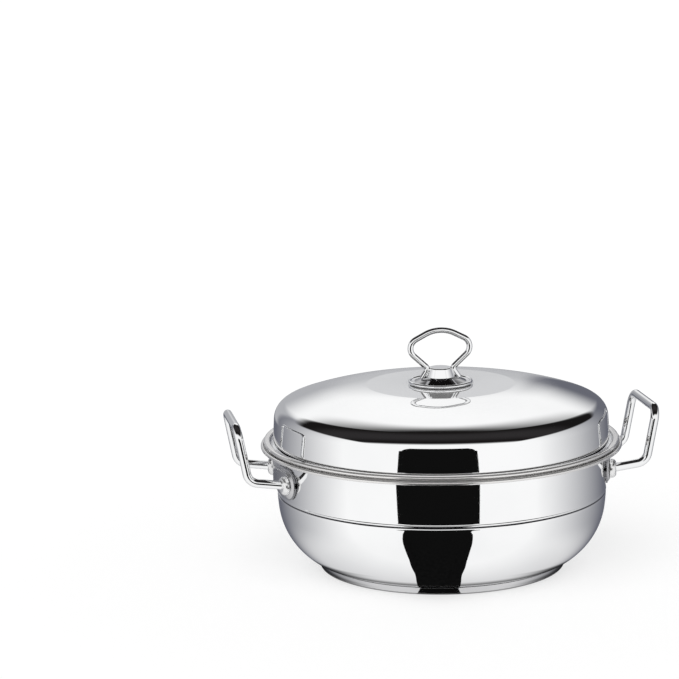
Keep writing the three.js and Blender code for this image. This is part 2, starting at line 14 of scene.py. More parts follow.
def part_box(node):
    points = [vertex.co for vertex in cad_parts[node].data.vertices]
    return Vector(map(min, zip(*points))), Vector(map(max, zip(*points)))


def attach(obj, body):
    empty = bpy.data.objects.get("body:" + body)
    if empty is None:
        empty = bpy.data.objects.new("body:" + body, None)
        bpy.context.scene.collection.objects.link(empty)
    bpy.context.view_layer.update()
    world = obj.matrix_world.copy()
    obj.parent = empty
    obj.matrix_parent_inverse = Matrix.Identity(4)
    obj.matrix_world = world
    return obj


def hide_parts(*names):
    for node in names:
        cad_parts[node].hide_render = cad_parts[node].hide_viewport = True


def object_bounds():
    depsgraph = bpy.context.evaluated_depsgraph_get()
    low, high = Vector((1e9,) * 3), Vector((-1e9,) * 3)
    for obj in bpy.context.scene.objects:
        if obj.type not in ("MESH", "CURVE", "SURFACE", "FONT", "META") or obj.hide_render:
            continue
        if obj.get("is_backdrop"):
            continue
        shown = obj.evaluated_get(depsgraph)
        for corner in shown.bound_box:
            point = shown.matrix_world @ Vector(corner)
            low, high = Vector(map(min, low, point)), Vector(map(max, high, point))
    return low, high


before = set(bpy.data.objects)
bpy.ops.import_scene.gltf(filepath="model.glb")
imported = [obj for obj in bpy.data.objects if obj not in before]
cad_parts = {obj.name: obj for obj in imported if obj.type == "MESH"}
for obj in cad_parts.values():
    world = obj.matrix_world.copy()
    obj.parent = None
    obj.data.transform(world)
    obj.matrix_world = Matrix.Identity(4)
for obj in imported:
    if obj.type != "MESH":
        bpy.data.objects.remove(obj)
cad_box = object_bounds()

MM = 0.001
GAP = 0.3
MERGE_DECIMALS = 4  # corners alike to so many decimals are one

# Pot
SHEET = 0.9
WALL_R = 121.6
POT_H = 94.1
BOWL_TOP_Z = 52
BOWL_INSET = 0.2
SHOULDER_BEND_R = 3  # the bowl turns in under the wall
SHOULDER_BEND_TURN = 45  # degrees
CREASE_TURN = 24  # where the crease's painted shade starts
CREASE_H = 5.25  # above the bowl's widest ring
CREASE_DEPTH = 0.72
CREASE_BEND_R = 0.2
LIP_TOP_H = 7.6
LIP_R = 0.9
LIP_UNDER_TURN = -50
LIP_OVER_TURN = 35
LIP_HOLLOW_R = 1.7
BOWL_SIDE_R = 120  # the bowl's side is flatter than its belly
BOWL_SIDE_FOOT = -8
BOWL_SIDE_TOP = -3.2
FOOT_R = 97
FOOT_RISE = 3
INSIDE_STEP_H = 2  # seen from inside, the step is softer
INSIDE_STEP_BEND_R = 3
INSIDE_CREASE_BEND_R = 1.2
RIM_OUT = 12.4
RIM_TRIM = 0.25  # keeps the round rims inside the box of the faceted ones
BEAD = 3.6
SHOWN_BEAD = 2.6  # the rolled rim is flatter than its solid
FLARE_R = 2.6

# Base
BASE_R = 91
CAP_SHEET = 0.7
CORE_T = 3.8
CAP_DISH_R = 18  # the middle of the underside is dished
CAP_DISH_DEPTH = 0.25
CAP_DISH_SLOPE_W = 2
CAP_DISH_BEND_R = 2
CAP_RING_IN = 7  # and a groove runs round near its edge
CAP_RING_W = 2.2
CAP_RING_DEPTH = 0.3
CAP_RING_SLOPE_W = 0.4
CAP_RING_EDGE_R = 0.4
CAP_RING_FLOOR_R = 0.3
CAP_EDGE_R = 1.3
CAP_LIP_OUTER_R = 0.25
CAP_LIP_INNER_R = 0.2
CAP_TOP_TRIM = 0.01
CAP_UNDER_RUNS = 14  # runs of its profile on the underside and the rounded edge

# Handles
WIRE_D = 6.3
GRIP_IN = 0.25  # keeps the round wire inside the box of the faceted one
HANDLE_SPAN = 64.4
HANDLE_DROP = 21.5
HANDLE_OUT = 26.6
HANDLE_LIFT = 3.6
HANDLE_RISE = 39.6
HANDLE_LEAN = 7.9
HANDLE_BEND_R = 9
BRACKET_H = 23
BRACKET_OVER = 17
BRACKET_SHEET = 1.2
BRACKET_PROUD = 3.2
BRACKET_BORDER = 0.8
BRACKET_SLOPE_W = 2.6
BRACKET_EDGE_R = 0.3
BRACKET_SLOPE_FOOT_R = 0.6
BRACKET_FACE_R = 2.2
BRACKET_EDGE_RUNS = 3  # runs of its section on the cut edge, which is darkened with painted shade
COLLAR_D = 14
COLLAR_T = 4.2
COLLAR_EDGE = 3.4
COLLAR_EDGE_TURN = 75

# Lid
LID_SHEET = 0.8
LID_BEAD_W = 5
LID_BEAD_H = 3
LID_BEAD_IN = 2.2  # the lid's bead lies behind the pot's rim
LID_PLAY = 1
GUTTER_W = 3.3
GUTTER_SLOPE = 0.9
GUTTER_FILLET = 1.2
GUTTER_FILLET_TRIM = 0.05
GUTTER_SIDE_LEAN = 0.1
GUTTER_SIDE_BEND_R = 0.9
LID_UNDER_WALL_R = 0.8  # bends of the sheet's underside
LID_UNDER_GUTTER_R = 0.6
LID_UNDER_BEAD_R = 0.3
LID_UNDER_WALL_RISE = 1.2
LID_WALL_H = 17.4
LID_DRAFT = 1
SHOULDER_R = 13
SHOULDER_TURN = 71
LID_H = 41.6
CROWN_R = 55

# Knob
KNOB_WIRE_D = 4.3
DISH_R = 23.9
DISH_EDGE = 2.6
DISH_RISE = 1.65
DISH_EDGE_TURN = (-60, 150)  # degrees
DISH_BEND_R = 3
SKIRT_R = 19.2  # a skirt climbs from the dish's lip to the bell, darkened with painted shade
SKIRT_RISE = 2.2
BELL_FOOT_R = 10.6
BELL_FOOT_RISE = 5.6
BELL_TOP_R = 8.2
BELL_RISE = 12.4
BELL_BEND_R = 1.2
LEG_SPREAD = 13.7
LEG_FOOT_Z = 4.5
NECK_X = 9
NECK_Z = 11.5
LOOP_SIDE_X = 27.7
LOOP_SIDE_Z = 28.8
LOOP_TOP_Z = 43.1
NECK_BEND_R = 3
LOOP_SIDE_BEND_R = 7.6
LOOP_TOP_BEND_R = 24

# Steaming plates
PLATE_SHEET = 0.8
PLATE_R = 98
PLATE_FLOOR_Z = 12.5
PLATE_WALL_H = 14.7
PLATE_FILLET = 6
TEE_COUNT = 3
TEE_ANGLE = 90
TEE_H = 36
STEM_T = 6.2
STEM_W = 13
FOOT_W = 15
FOOT_IN = 6
FOOT_T = 5
FOOT_CHAMFER = 3.5
FOOT_CHAMFER_RISE = 5.2
FOOT_EDGE = 1
BAR_L = 42
BAR_IN = 4.5
BAR_OUT = 2
BAR_EDGE = 1.5
TEE_FILLET = 4
TEE_BLOCK = 20  # half the depth of the block that the tee is cut from
TEE_ROUNDING = 0.6
TEE_ROUNDING_SEGMENTS = 3
TEE_ROUNDED_FROM = 28  # degrees between faces
RIVET_D = 3.2
RIVET_HEAD_D = 6.4
RIVET_HEAD_T = 1.5
RIVET_HEAD_EDGE = 0.3
RIVET_TAIL_D = 5.2
RIVET_TAIL_T = 1
RIVET_TAIL_END_R = 0.5
RIVET_TAIL_FOOT_R = 0.1
CUP_WEB = 5
CUP_MARGIN = 4
CUP_DEPTH = 10.5
CUP_FLOOR_R = 12
CUP_LIP_R = 1.6
CUPS_ROUND_THE_MIDDLE = 6
CUP_HOLES = 3
CUP_HOLE_D = 3.4
CUP_HOLE_RING = 6.5
STEAM_HOLE_D = 4
STEAM_HOLE_PITCH = 14
STEAM_HOLES_MORE = 6  # in each ring than in the one inside it

# Facets
ROUND = 320
PLATE_ROUND = 180
KNOB_ROUND = 128
CUP_ROUND = 72
SMALL_ROUND = 64
WIRE_ROUND = 48
RIVET_ROUND = 40
HOLE_ROUND = 20
BRACKET_STEPS = 28  # along each straight side and round each end
CUP_STEPS = 24
WIRE_BEND_STEP = 2.0  # degrees
ARC_STEP = 3.0

# Camera fitted to the photograph, metres and degrees
CAMERA_DISTANCE = 2.0
CAMERA_ELEVATION = 13.64
CAMERA_AZIMUTH = -11.13
CAMERA_TARGET = Vector((0, 0, 0.06))
CAMERA_YAW = 2.15
CAMERA_PITCH = 3.09
CAMERA_ROLL = 0.44
CAMERA_LENS = 142.1
SENSOR = 36

# Black cloth in front of the pot, metres: (distance from the axis, reach to the left, reach to the right)
FLAG_OUTLINE = (
    (0.088, 0.0182, 0.0132), (0.104, 0.0214, 0.0154), (0.109, 0.0230, 0.0166), (0.120, 0.0288, 0.0212),
    (0.133, 0.0347, 0.0257), (0.160, 0.0497, 0.0370), (0.200, 0.0722, 0.0545), (0.228, 0.0846, 0.0655),
    (0.245, 0.0885, 0.0670), (0.300, 0.135, 0.113), (0.330, 0.155, 0.130), (0.430, 0.222, 0.182),
    (0.800, 0.411, 0.347), (0.920, 0.465, 0.393), (1.300, 0.605, 0.515),
)
# Its far end hangs from a bar: (height, reach to the left, reach to the right)
FLAG_BACK = ((0.12, 0.590, 0.502), (0.24, 0.550, 0.470), (0.36, 0.470, 0.402))
FLAG_Z = 0.0003
FLAG_WEAVE = 300.0  # per metre
FLAG_TONES = (0.002, 0.008)

# Room that the steel mirrors, by direction: f to the camera's side, s to the right and z up, each -1 to 1.
# A pair of numbers is a soft edge.
ROOM_LIT = (-0.9, 0.35)  # in f: the room and its table brighten to the front
ROOM_BACK_TONE = (0.14, 0.145, 0.175, 1)
TABLE_EDGE = (-0.68, -0.32)  # in z
TABLE_BACK_TONE = (0.62, 0.62, 0.63, 1)
TABLE_FRONT = 0.98
CARD_FRONT = (-0.75, -0.6)  # in f
CARD_LEFT = (-0.6, -0.42)  # in s
CARD_RIGHT = (0.055, 0.085)
CARD_FOOT = (-0.2, -0.1)  # in z
CARD_TONE = (0.44, 0.445, 0.465, 1)
ROOM_TOP = (0.11, 0.37)  # in z: all is white above it
ROOM_CLIMB = (0.12, 0.7)  # off the middle, its top rises
ROOM_CLIMB_H = 0.35
WING_EDGE = (0.45, 0.7)  # off the middle: a wing on either side stands higher
WING_TOP = (0.5, 0.62)
FILL_STRENGTH = 0.5

# Dark panel overhead, by where a direction meets a ceiling one unit up: lean is to the front, aside is to
# either side
CEILING_LEAST_RISE = 0.02
PANEL_BACK = 0.925
PANEL_BACK_BOW = 2.9  # its back edge bows, and is softer to the sides
PANEL_SOFT = 0.08
PANEL_SOFT_BOW = 2.0
PANEL_TIPS = (1.35, 2.2)
PANEL_TIP_SOFT = 0.35
PANEL_FRONT = (0.92, 1.55)
PANEL_SIDE = (1.65, 2.05)
PANEL_LOWEST = (0.05, 0.2)
PANEL_MIDDLE = (0.1, 0.8)
PANEL_MIDDLE_TONE = (0.028, 0.026, 0.027, 1)
PANEL_EDGE_TONE = (0.010, 0.009, 0.009, 1)

# Floor, metres from the axis
FLOOR_R = 12.0
FLOOR_Z = -0.0004
FLOOR_ROUND = 128
FLOOR_LIT = (0.22, 0.6)
FLOOR_LIT_SHARE = 0.35
FLOOR_GLOW = 1.025
AHEAD = (0.45, 0.9)  # cosine off the front: there the floor under the bowl is open, free of the painted shadow
AHEAD_LEAST = 0.2
# OVERHANG and CONTACT edge a shadow painted on the floor for the steel: under the bowl and round the base's
# foot
OVERHANG = (0.094, 0.102)
CONTACT = (0.0905, 0.097)
CONTACT_LEAST = 0.3

# Lamp, degrees
KEY_LEVEL = 0.5
KEY_SPREAD = 60
KEY_TILT = (28, -14)

UP = Vector((0, 0, 1))
front_angle = math.radians(CAMERA_AZIMUTH)
FRONT = Vector((math.sin(front_angle), -math.cos(front_angle), 0))
SIDE = Vector((math.cos(front_angle), math.sin(front_angle), 0))


class Skin:
    """A mesh of faces whose corners bring their own normals, so that reflections run true."""

    def __init__(self):
        self.index = {}
        self.points = []
        self.faces = []
        self.normals = []
        self.zones = []

    def corner(self, point):
        key = tuple(round(value, MERGE_DECIMALS) for value in point)
        if key not in self.index:
            self.index[key] = len(self.points)
            self.points.append(point)
        return self.index[key]

    def face(self, corners, zone=0):
        kept = {}
        for point, normal in corners:
            kept.setdefault(self.corner(point), normal)
        if len(kept) < 3:
            return
        self.faces.append(list(kept))
        self.normals.extend(kept.values())
        self.zones.append(zone)

    def bridge(self, rings, zone=0):
        """Faces between closed rings of (point, normal) corners."""
        for low, high in zip(rings, rings[1:]):
            for j in range(len(low)):
                k = (j + 1) % len(low)
                self.face([low[j], low[k], high[k], high[j]], zone)

    def build(self, name, materials):
        mesh = bpy.data.meshes.new(name)
        mesh.from_pydata([Vector(p) * MM for p in self.points], [], self.faces)
        for material in materials:
            mesh.materials.append(material)
        mesh.polygons.foreach_set("material_index", self.zones)
        mesh.polygons.foreach_set("use_smooth", [True] * len(self.faces))
        mesh.normals_split_custom_set(self.normals)
        mesh.update()
        return shown(name, mesh)


def shown(name, mesh):
    piece = bpy.data.objects.new(name, mesh)
    bpy.context.collection.objects.link(piece)
    return piece


# Profiles are runs of (radius, height, normal) points, walked with the metal on the left.
def line(start, end):
    along = Vector(end) - Vector(start)
    normal = Vector((along.y, -along.x)).normalized()
    return [(*point, *normal) for point in (start, end)]


def bend(centre, radius, start, end, step=ARC_STEP):
    steps = max(2, math.ceil(abs(end - start) / step))
    side = 1 if end > start else -1
    run = []
    for i in range(steps + 1):
        angle = math.radians(start + (end - start) * i / steps)
        c, s = math.cos(angle), math.sin(angle)
        run.append((centre[0] + radius * c, centre[1] + radius * s, side * c, side * s))
    return run


def follow(run, radius, start, end, step=ARC_STEP):
    """A bend that goes on from the end of a run."""
    angle = math.radians(start)
    centre = (run[-1][0] - radius * math.cos(angle), run[-1][1] - radius * math.sin(angle))
    return bend(centre, radius, start, end, step)


def path(corners, step=ARC_STEP):
    """Straight runs between corners (radius, height, bend), each corner rounded to its bend."""
    points = [Vector(corner[:2]) for corner in corners]
    runs = []
    at = points[0]
    for i in range(1, len(points) - 1):
        before = (points[i] - points[i - 1]).normalized()
        after = (points[i + 1] - points[i]).normalized()
        turn = math.atan2(before.cross(after), before.dot(after))
        radius = corners[i][2]
        reach = radius * math.tan(abs(turn) / 2)
        start = points[i] - before * reach
        runs.append(line(at, start))
        if radius:
            side = 1 if turn > 0 else -1
            centre = start + Vector((-before.y, before.x)) * radius * side
            first = math.degrees(math.atan2(start.y - centre.y, start.x - centre.x))
            runs.append(bend(centre, radius, first, first + math.degrees(turn), step))
        at = points[i] + after * reach
    runs.append(line(at, points[-1]))
    return runs


def spin(skin, runs, segments, place=None, zone=0):
    """Turns runs of a profile about +Z, then moves the result to its place."""
    place = place or Matrix.Identity(4)
    turned = place.to_3x3()
    angles = [2 * math.pi * j / segments for j in range(segments)]
    around = [(math.cos(angle), math.sin(angle)) for angle in angles]
    for run in runs:
        rings = []
        for r, z, out, lift in run:
            points = [place @ Vector((r * c, r * s, z)) for c, s in around]
            normals = [turned @ Vector((out * c, out * s, lift)) for c, s in around]
            rings.append(list(zip(points, normals)))
        skin.bridge(rings, zone)


def bent_path(corners, radii):
    """Stations (point, tangent) along a wire: straight runs between corners rounded to their radii."""
    corners = [Vector(corner) for corner in corners]
    stations = [(corners[0], (corners[1] - corners[0]).normalized())]
    for i, radius in enumerate(radii, 1):
        before = (corners[i] - corners[i - 1]).normalized()
        after = (corners[i + 1] - corners[i]).normalized()
        turn = before.angle(after)
        start = corners[i] - before * radius * math.tan(turn / 2)
        axis = before.cross(after).normalized()
        centre = start + axis.cross(before) * radius
        steps = math.ceil(math.degrees(turn) / WIRE_BEND_STEP)
        for step in range(steps + 1):
            turned = Quaternion(axis, turn * step / steps)
            stations.append((centre + turned @ (start - centre), turned @ before))
    stations.append((corners[-1], (corners[-1] - corners[-2]).normalized()))
    return stations


def circle(centre, radius, count, turn=0.0):
    x, y = centre
    angles = [turn + 2 * math.pi / count * i for i in range(count)]
    return [Vector((x + radius * math.cos(angle), y + radius * math.sin(angle))) for angle in angles]


def flat(skin, outer, holes, z, facing, place):
    """A flat face at height z inside the outer loop and outside the holes, facing up (1) or down (-1)."""
    loops = [outer] + holes
    points = [point for loop in loops for point in loop]
    edges = []
    for loop in loops:
        first = len(edges)
        edges += [(first + i, first + (i + 1) % len(loop)) for i in range(len(loop))]
    spots = []
    for hole in holes:
        middle = sum(hole, Vector((0, 0))) / len(hole)
        spots.append((middle, (hole[0] - middle).length))
    made, _, faces, *_ = delaunay_2d_cdt(points, edges, [], 0, 1e-7)
    normal = UP * facing
    for face in faces:
        a, b, c = (made[i] for i in face)
        middle = (a + b + c) / 3
        if any((middle - spot).length < reach for spot, reach in spots):
            continue
        order = face if (b - a).cross(c - a) * facing > 0 else reversed(face)
        skin.face([(place @ Vector((made[i].x, made[i].y, z)), normal) for i in order])


def hole_wall(skin, loop, bottom, top):
    middle = sum(loop, Vector((0, 0))) / len(loop)
    inward = [Vector((*(middle - point).normalized(), 0)) for point in loop]
    levels = [[Vector((*point, z)) for point in loop] for z in (top, bottom)]
    skin.bridge([list(zip(level, inward)) for level in levels])


# Materials: noise scales are per metre
STEEL_CLOUDS = 14.0
STEEL_CLOUD_RANGE = (0.3, 0.7)
STEEL_CLOUD_WEAR = 0.5
STEEL_WEAR_RANGE = (0.5, 1.0)
STEEL_RIPPLES = 9.0
STEEL_RIPPLE_H = 3.0
STEEL_RING_H = 0.05
MOULDING_PORES = 2600.0
MOULDING_PORE_H = 0.3
MOULDING_PEEL = 420.0
MOULDING_DENT = 0.00006
MOULDING_CLOUDS = 60.0
MOULDING_CLOUD_RANGE = (0.35, 0.7)
MOULDING_CLOUD_WEAR = 0.6
MOULDING_WEAR_RANGE = (0.4, 1.2)
MOULDING_GLOSS = (0.26, 0.44)
MOULDING_DARK = (0.012, 0.012, 0.013, 1)
MOULDING_PALE = (0.024, 0.024, 0.025, 1)


class Graph:
    """Adds and links the nodes of a material or a world."""

    def __init__(self, tree):
        self.tree = tree
        tree.nodes.clear()

    def add(self, kind, inputs=None, **settings):
        node = self.tree.nodes.new("ShaderNode" + kind)
        for name, value in settings.items():
            setattr(node, name, value)
        for name, value in (inputs or {}).items():
            if isinstance(value, bpy.types.NodeSocket):
                self.tree.links.new(value, node.inputs[name])
            else:
                node.inputs[name].default_value = value
        return node

    def spot(self, kind="Object"):
        return self.add("TexCoord").outputs[kind]

    def math(self, operation, *values):
        return self.add("Math", dict(enumerate(values)), operation=operation).outputs[0]

    def length(self, a, b):
        return self.math("SQRT", self.math("MULTIPLY_ADD", a, a, self.math("MULTIPLY", b, b)))

    def ramp(self, value, start, end, low=0.0, high=1.0, smooth=True):
        kind = "SMOOTHSTEP" if smooth else "LINEAR"
        inputs = {"Value": value, "From Min": start, "From Max": end, "To Min": low, "To Max": high}
        return self.add("MapRange", inputs, interpolation_type=kind).outputs[0]

    def mix(self, factor, low, high):
        return self.add("Mix", {0: factor, 6: low, 7: high}, data_type="RGBA").outputs[2]

    def all_of(self, first, *others):
        for other in others:
            first = self.math("MULTIPLY", first, other)
        return first

    def blend(self, factor, low, high):
        return self.add("MixShader", {0: factor, 1: low.outputs[0], 2: high.outputs[0]})

    def noise(self, vector, scale, detail=2.0, roughness=0.5):
        inputs = {"Vector": vector, "Scale": scale, "Detail": detail, "Roughness": roughness}
        return self.add("TexNoise", inputs).outputs["Fac"]


def grey(value):
    return (value, value, value, 1)


def new_material(name):
    material = bpy.data.materials.new(name)
    material.use_nodes = True
    return material, Graph(material.node_tree)


def finish_material(graph, inputs, **relief):
    bump = graph.add("Bump", relief)
    shader = graph.add("BsdfPrincipled", {**inputs, "Normal": bump.outputs[0]})
    graph.add("OutputMaterial", {"Surface": shader.outputs[0]})


def steel(name, dark, bright, gloss, grain=900.0, dent=0.000004, turned=True, metal=1.0, haze=None):
    """Polished steel: tone and gloss drift a little, and turned pieces carry faint rings of spun grain.

    gloss is the least and the most roughness, grain is per metre and dent is in metres. haze is (inner
    radius, outer radius): from the outer one inwards the polish turns faintly milky, down to metal.
    """
    material, graph = new_material(name)
    place = graph.spot()
    x, y, z = graph.add("SeparateXYZ", {0: place}).outputs
    radius = graph.length(x, y)
    lie = graph.add("CombineXYZ", {0: radius, 1: z}).outputs[0] if turned else place
    rings = graph.noise(lie, grain, detail=4.0, roughness=0.7)
    clouds = graph.noise(place, STEEL_CLOUDS, detail=3.0)
    ripple = graph.noise(place, STEEL_RIPPLES, detail=1.0)
    tone = graph.mix(graph.ramp(clouds, *STEEL_CLOUD_RANGE), (*dark, 1), (*bright, 1))
    wear = graph.math("MULTIPLY_ADD", clouds, STEEL_CLOUD_WEAR, rings)
    grooves = graph.math("MULTIPLY", rings, STEEL_RING_H)
    height = graph.math("MULTIPLY_ADD", ripple, STEEL_RIPPLE_H, grooves)
    finish_material(graph, {
        "Base Color": tone,
        "Metallic": graph.ramp(radius, *haze, metal, 1.0) if haze else metal,
        "Roughness": graph.ramp(wear, *STEEL_WEAR_RANGE, *gloss),
    }, Strength=1.0, Distance=dent, Height=height)
    return material


def moulding(name):
    """Half-gloss black phenolic: fine pores in the gloss, a faint orange peel, dust-pale high spots."""
    material, graph = new_material(name)
    place = graph.spot()
    pores = graph.noise(place, MOULDING_PORES, detail=3.0)
    peel = graph.noise(place, MOULDING_PEEL, detail=2.0)
    clouds = graph.noise(place, MOULDING_CLOUDS, detail=4.0)
    tone = graph.mix(graph.ramp(clouds, *MOULDING_CLOUD_RANGE), MOULDING_DARK, MOULDING_PALE)
    wear = graph.math("MULTIPLY_ADD", clouds, MOULDING_CLOUD_WEAR, pores)
    height = graph.math("MULTIPLY_ADD", pores, MOULDING_PORE_H, peel)
    finish_material(graph, {
        "Base Color": tone,
        "Roughness": graph.ramp(wear, *MOULDING_WEAR_RANGE, *MOULDING_GLOSS),
    }, Strength=0.35, Distance=MOULDING_DENT, Height=height)
    return material


POLISH = {
    "dark": (0.90, 0.905, 0.91), "bright": (0.95, 0.953, 0.957),
    "gloss": (0.012, 0.04), "dent": 0.00001,
}
mirror = steel("mirror_steel", **POLISH)
dome_steel = steel("dome_steel", **POLISH, metal=0.7, haze=(0.066, 0.094))
satin = steel(
    "satin_steel", dark=(0.72, 0.725, 0.73), bright=(0.80, 0.803, 0.806),
    gloss=(0.16, 0.34), grain=2200.0, dent=0.00003, metal=0.75)
edge_steel = steel(
    "edge_steel", dark=(0.80, 0.79, 0.78), bright=(0.87, 0.86, 0.85),
    gloss=(0.07, 0.11), grain=500.0, dent=0.000002, metal=0.76)
wire = steel(
    "wire_steel", dark=(0.86, 0.865, 0.87), bright=(0.92, 0.923, 0.927),
    gloss=(0.015, 0.05), grain=1500.0, turned=False)
boss_steel = steel(
    "boss_steel", dark=(0.84, 0.84, 0.84), bright=(0.9, 0.9, 0.9),
    gloss=(0.16, 0.22), grain=300.0, dent=0.000003, turned=False, metal=0.75)
pressed_steel = steel(
    "pressed_steel", dark=(0.52, 0.52, 0.53), bright=(0.6, 0.6, 0.61),
    gloss=(0.22, 0.3), grain=300.0, turned=False)
# Painted shade: dark steel for the knob's skirt under the dish
painted_shade_skirt_steel = steel(
    "painted_shade_skirt_steel", dark=(0.36, 0.36, 0.37), bright=(0.44, 0.44, 0.45),
    gloss=(0.05, 0.09))
# Painted shade: a dark steel for the pot's crease and the brackets' cut edges
painted_shade_steel = steel(
    "painted_shade_steel", dark=(0.16, 0.16, 0.17), bright=(0.22, 0.22, 0.23),
    gloss=(0.1, 0.16), dent=0.000002)
# Painted shade: darker steel for the base's side, standing in for the shaded floor that it mirrors
painted_shade_band_steel = steel(
    "painted_shade_band_steel", dark=(0.56, 0.56, 0.57), bright=(0.64, 0.64, 0.65),
    gloss=(0.08, 0.14))
plate = steel(
    "plate_steel", dark=(0.78, 0.785, 0.79), bright=(0.86, 0.863, 0.866),
    gloss=(0.09, 0.2), grain=1800.0, dent=0.00002, metal=0.68)
rivet_steel = steel(
    "rivet_steel", dark=(0.7, 0.7, 0.7), bright=(0.8, 0.8, 0.8),
    gloss=(0.16, 0.3), grain=3000.0, dent=0.00002, turned=False)
aluminium = steel(
    "spreader_aluminium", dark=(0.62, 0.63, 0.64), bright=(0.72, 0.725, 0.73),
    gloss=(0.34, 0.5), grain=1600.0, dent=0.00004)
black = moulding("black_moulding")


def dress(piece, node, body):
    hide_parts(node)
    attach(piece, body)


def stand_for(node, body, slot, skin, *steels):
    dress(skin.build(node + "_shown", steels), node, body)


# Levels shared by the base, the bowl and the lid
core_bottom = CAP_SHEET + GAP
floor_z = core_bottom + CORE_T + GAP
bowl_r = WALL_R - BOWL_INSET
bowl_run = bowl_r - FOOT_R
bowl_drop = BOWL_TOP_Z - floor_z - FOOT_RISE
bowl_radius = (bowl_run ** 2 + bowl_drop ** 2) / (2 * bowl_run)
bowl_centre = (bowl_r - bowl_radius, BOWL_TOP_Z)
foot_slope = math.atan2(FOOT_R - bowl_centre[0], bowl_drop)
turn_radius = FOOT_RISE / (1 - math.cos(foot_slope))
turn_centre = (FOOT_R - turn_radius * math.sin(foot_slope), floor_z + turn_radius)
slope = math.degrees(foot_slope)
flange_z = POT_H - BEAD
rim_r = WALL_R + RIM_OUT
shown_rim_r = rim_r - RIM_TRIM


def make_pot_body():
    crease = (WALL_R - CREASE_DEPTH, BOWL_TOP_Z + CREASE_H)
    lip_top_z = BOWL_TOP_Z + LIP_TOP_H
    belly = bend(bowl_centre, bowl_radius, slope - 90, BOWL_SIDE_FOOT, step=1.5)
    side = follow(belly, BOWL_SIDE_R, BOWL_SIDE_FOOT, BOWL_SIDE_TOP, step=0.5)
    shoulder = follow(side, SHOULDER_BEND_R, BOWL_SIDE_TOP, CREASE_TURN, step=1.5)
    shade = follow(shoulder, SHOULDER_BEND_R, CREASE_TURN, SHOULDER_BEND_TURN, step=1.5)
    hollow = bend((WALL_R + LIP_HOLLOW_R, lip_top_z), LIP_HOLLOW_R, 180 + LIP_OVER_TURN, 180)
    turn = math.radians(LIP_OVER_TURN)
    lip_centre = (hollow[0][0] - LIP_R * math.cos(turn), hollow[0][1] - LIP_R * math.sin(turn))
    lip = bend(lip_centre, LIP_R, LIP_UNDER_TURN, LIP_OVER_TURN)
    flare = (WALL_R + FLARE_R, flange_z - FLARE_R)
    bead = SHOWN_BEAD / 2
    leave = math.degrees(math.asin(1 - SHEET / bead))
    inner_r = WALL_R - SHEET
    outside = [
        line((0, floor_z), (turn_centre[0], floor_z)),
        bend(turn_centre, turn_radius, -90, slope - 90),
        belly,
        side,
        shoulder,
        lip,
        hollow,
        line((WALL_R, lip_top_z), (WALL_R, flare[1])),
        bend(flare, FLARE_R, 180, 90),
        line((flare[0], flange_z), (shown_rim_r - bead, flange_z)),
    ]
    # The crease and the upper part of the shoulder's turn get painted shade, a dark line all round
    creased = [shade, *path([shade[-1][:2], (*crease, CREASE_BEND_R), lip[0][:2]], step=12)]
    rim = bend((shown_rim_r - bead, flange_z + bead), bead, -90, 180 + leave, step=10)
    inside = [
        line(rim[-1][:2], (flare[0], flange_z + SHEET)),
        bend(flare, FLARE_R + SHEET, 90, 180),
        *path([
            (inner_r, flare[1]),
            (inner_r, lip_top_z, INSIDE_STEP_BEND_R),
            (crease[0] - SHEET, crease[1], INSIDE_CREASE_BEND_R),
            (bowl_r - SHEET, BOWL_TOP_Z + INSIDE_STEP_H, INSIDE_STEP_BEND_R),
            (bowl_r - SHEET, BOWL_TOP_Z),
        ], step=8),
        bend(bowl_centre, bowl_radius - SHEET, 0, slope - 90, step=2),
        bend(turn_centre, turn_radius - SHEET, slope - 90, -90),
        line((turn_centre[0], floor_z + SHEET), (0, floor_z + SHEET)),
    ]
    skin = Skin()
    spin(skin, outside, ROUND)
    spin(skin, inside, ROUND, zone=1)
    spin(skin, [rim], ROUND, zone=2)
    spin(skin, creased, ROUND, zone=3)
    stand_for("pot_body", "pot", "polished_steel", skin, mirror, satin, edge_steel, painted_shade_steel)


def make_base_cap():
    """A drawn cup with a rounded lower edge and, turned in its underside, a groove and a dished middle."""
    inner_r = BASE_R - CAP_SHEET
    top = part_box("base_cap")[1][2] / MM - CAP_TOP_TRIM
    ring_r = BASE_R - CAP_RING_IN
    ring_inner_r = ring_r - CAP_RING_W
    profile = path([
        (0, CAP_DISH_DEPTH),
        (CAP_DISH_R, CAP_DISH_DEPTH, CAP_DISH_BEND_R),
        (CAP_DISH_R + CAP_DISH_SLOPE_W, 0, CAP_DISH_BEND_R),
        (ring_inner_r, 0, CAP_RING_EDGE_R),
        (ring_inner_r + CAP_RING_SLOPE_W, CAP_RING_DEPTH, CAP_RING_FLOOR_R),
        (ring_r - CAP_RING_SLOPE_W, CAP_RING_DEPTH, CAP_RING_FLOOR_R),
        (ring_r, 0, CAP_RING_EDGE_R),
        (BASE_R, 0, CAP_EDGE_R),
        (BASE_R, top, CAP_LIP_OUTER_R),
        (inner_r, top, CAP_LIP_INNER_R),
        (inner_r, CAP_SHEET, 0),
        (0, CAP_SHEET),
    ], step=10)
    skin = Skin()
    spin(skin, profile[:CAP_UNDER_RUNS], ROUND, zone=1)
    # The side of the base gets painted shade
    spin(skin, profile[CAP_UNDER_RUNS:], ROUND)
    stand_for("base_cap", "pot", "polished_steel", skin, painted_shade_band_steel, satin)


# Handles, made at the right-hand side and turned to theirs
bracket_r = WALL_R + GAP + BRACKET_PROUD
handle_z = POT_H - HANDLE_DROP
leg_y = HANDLE_SPAN / 2
foot_x = math.sqrt(bracket_r ** 2 - leg_y ** 2)
bend_x = WALL_R + HANDLE_OUT


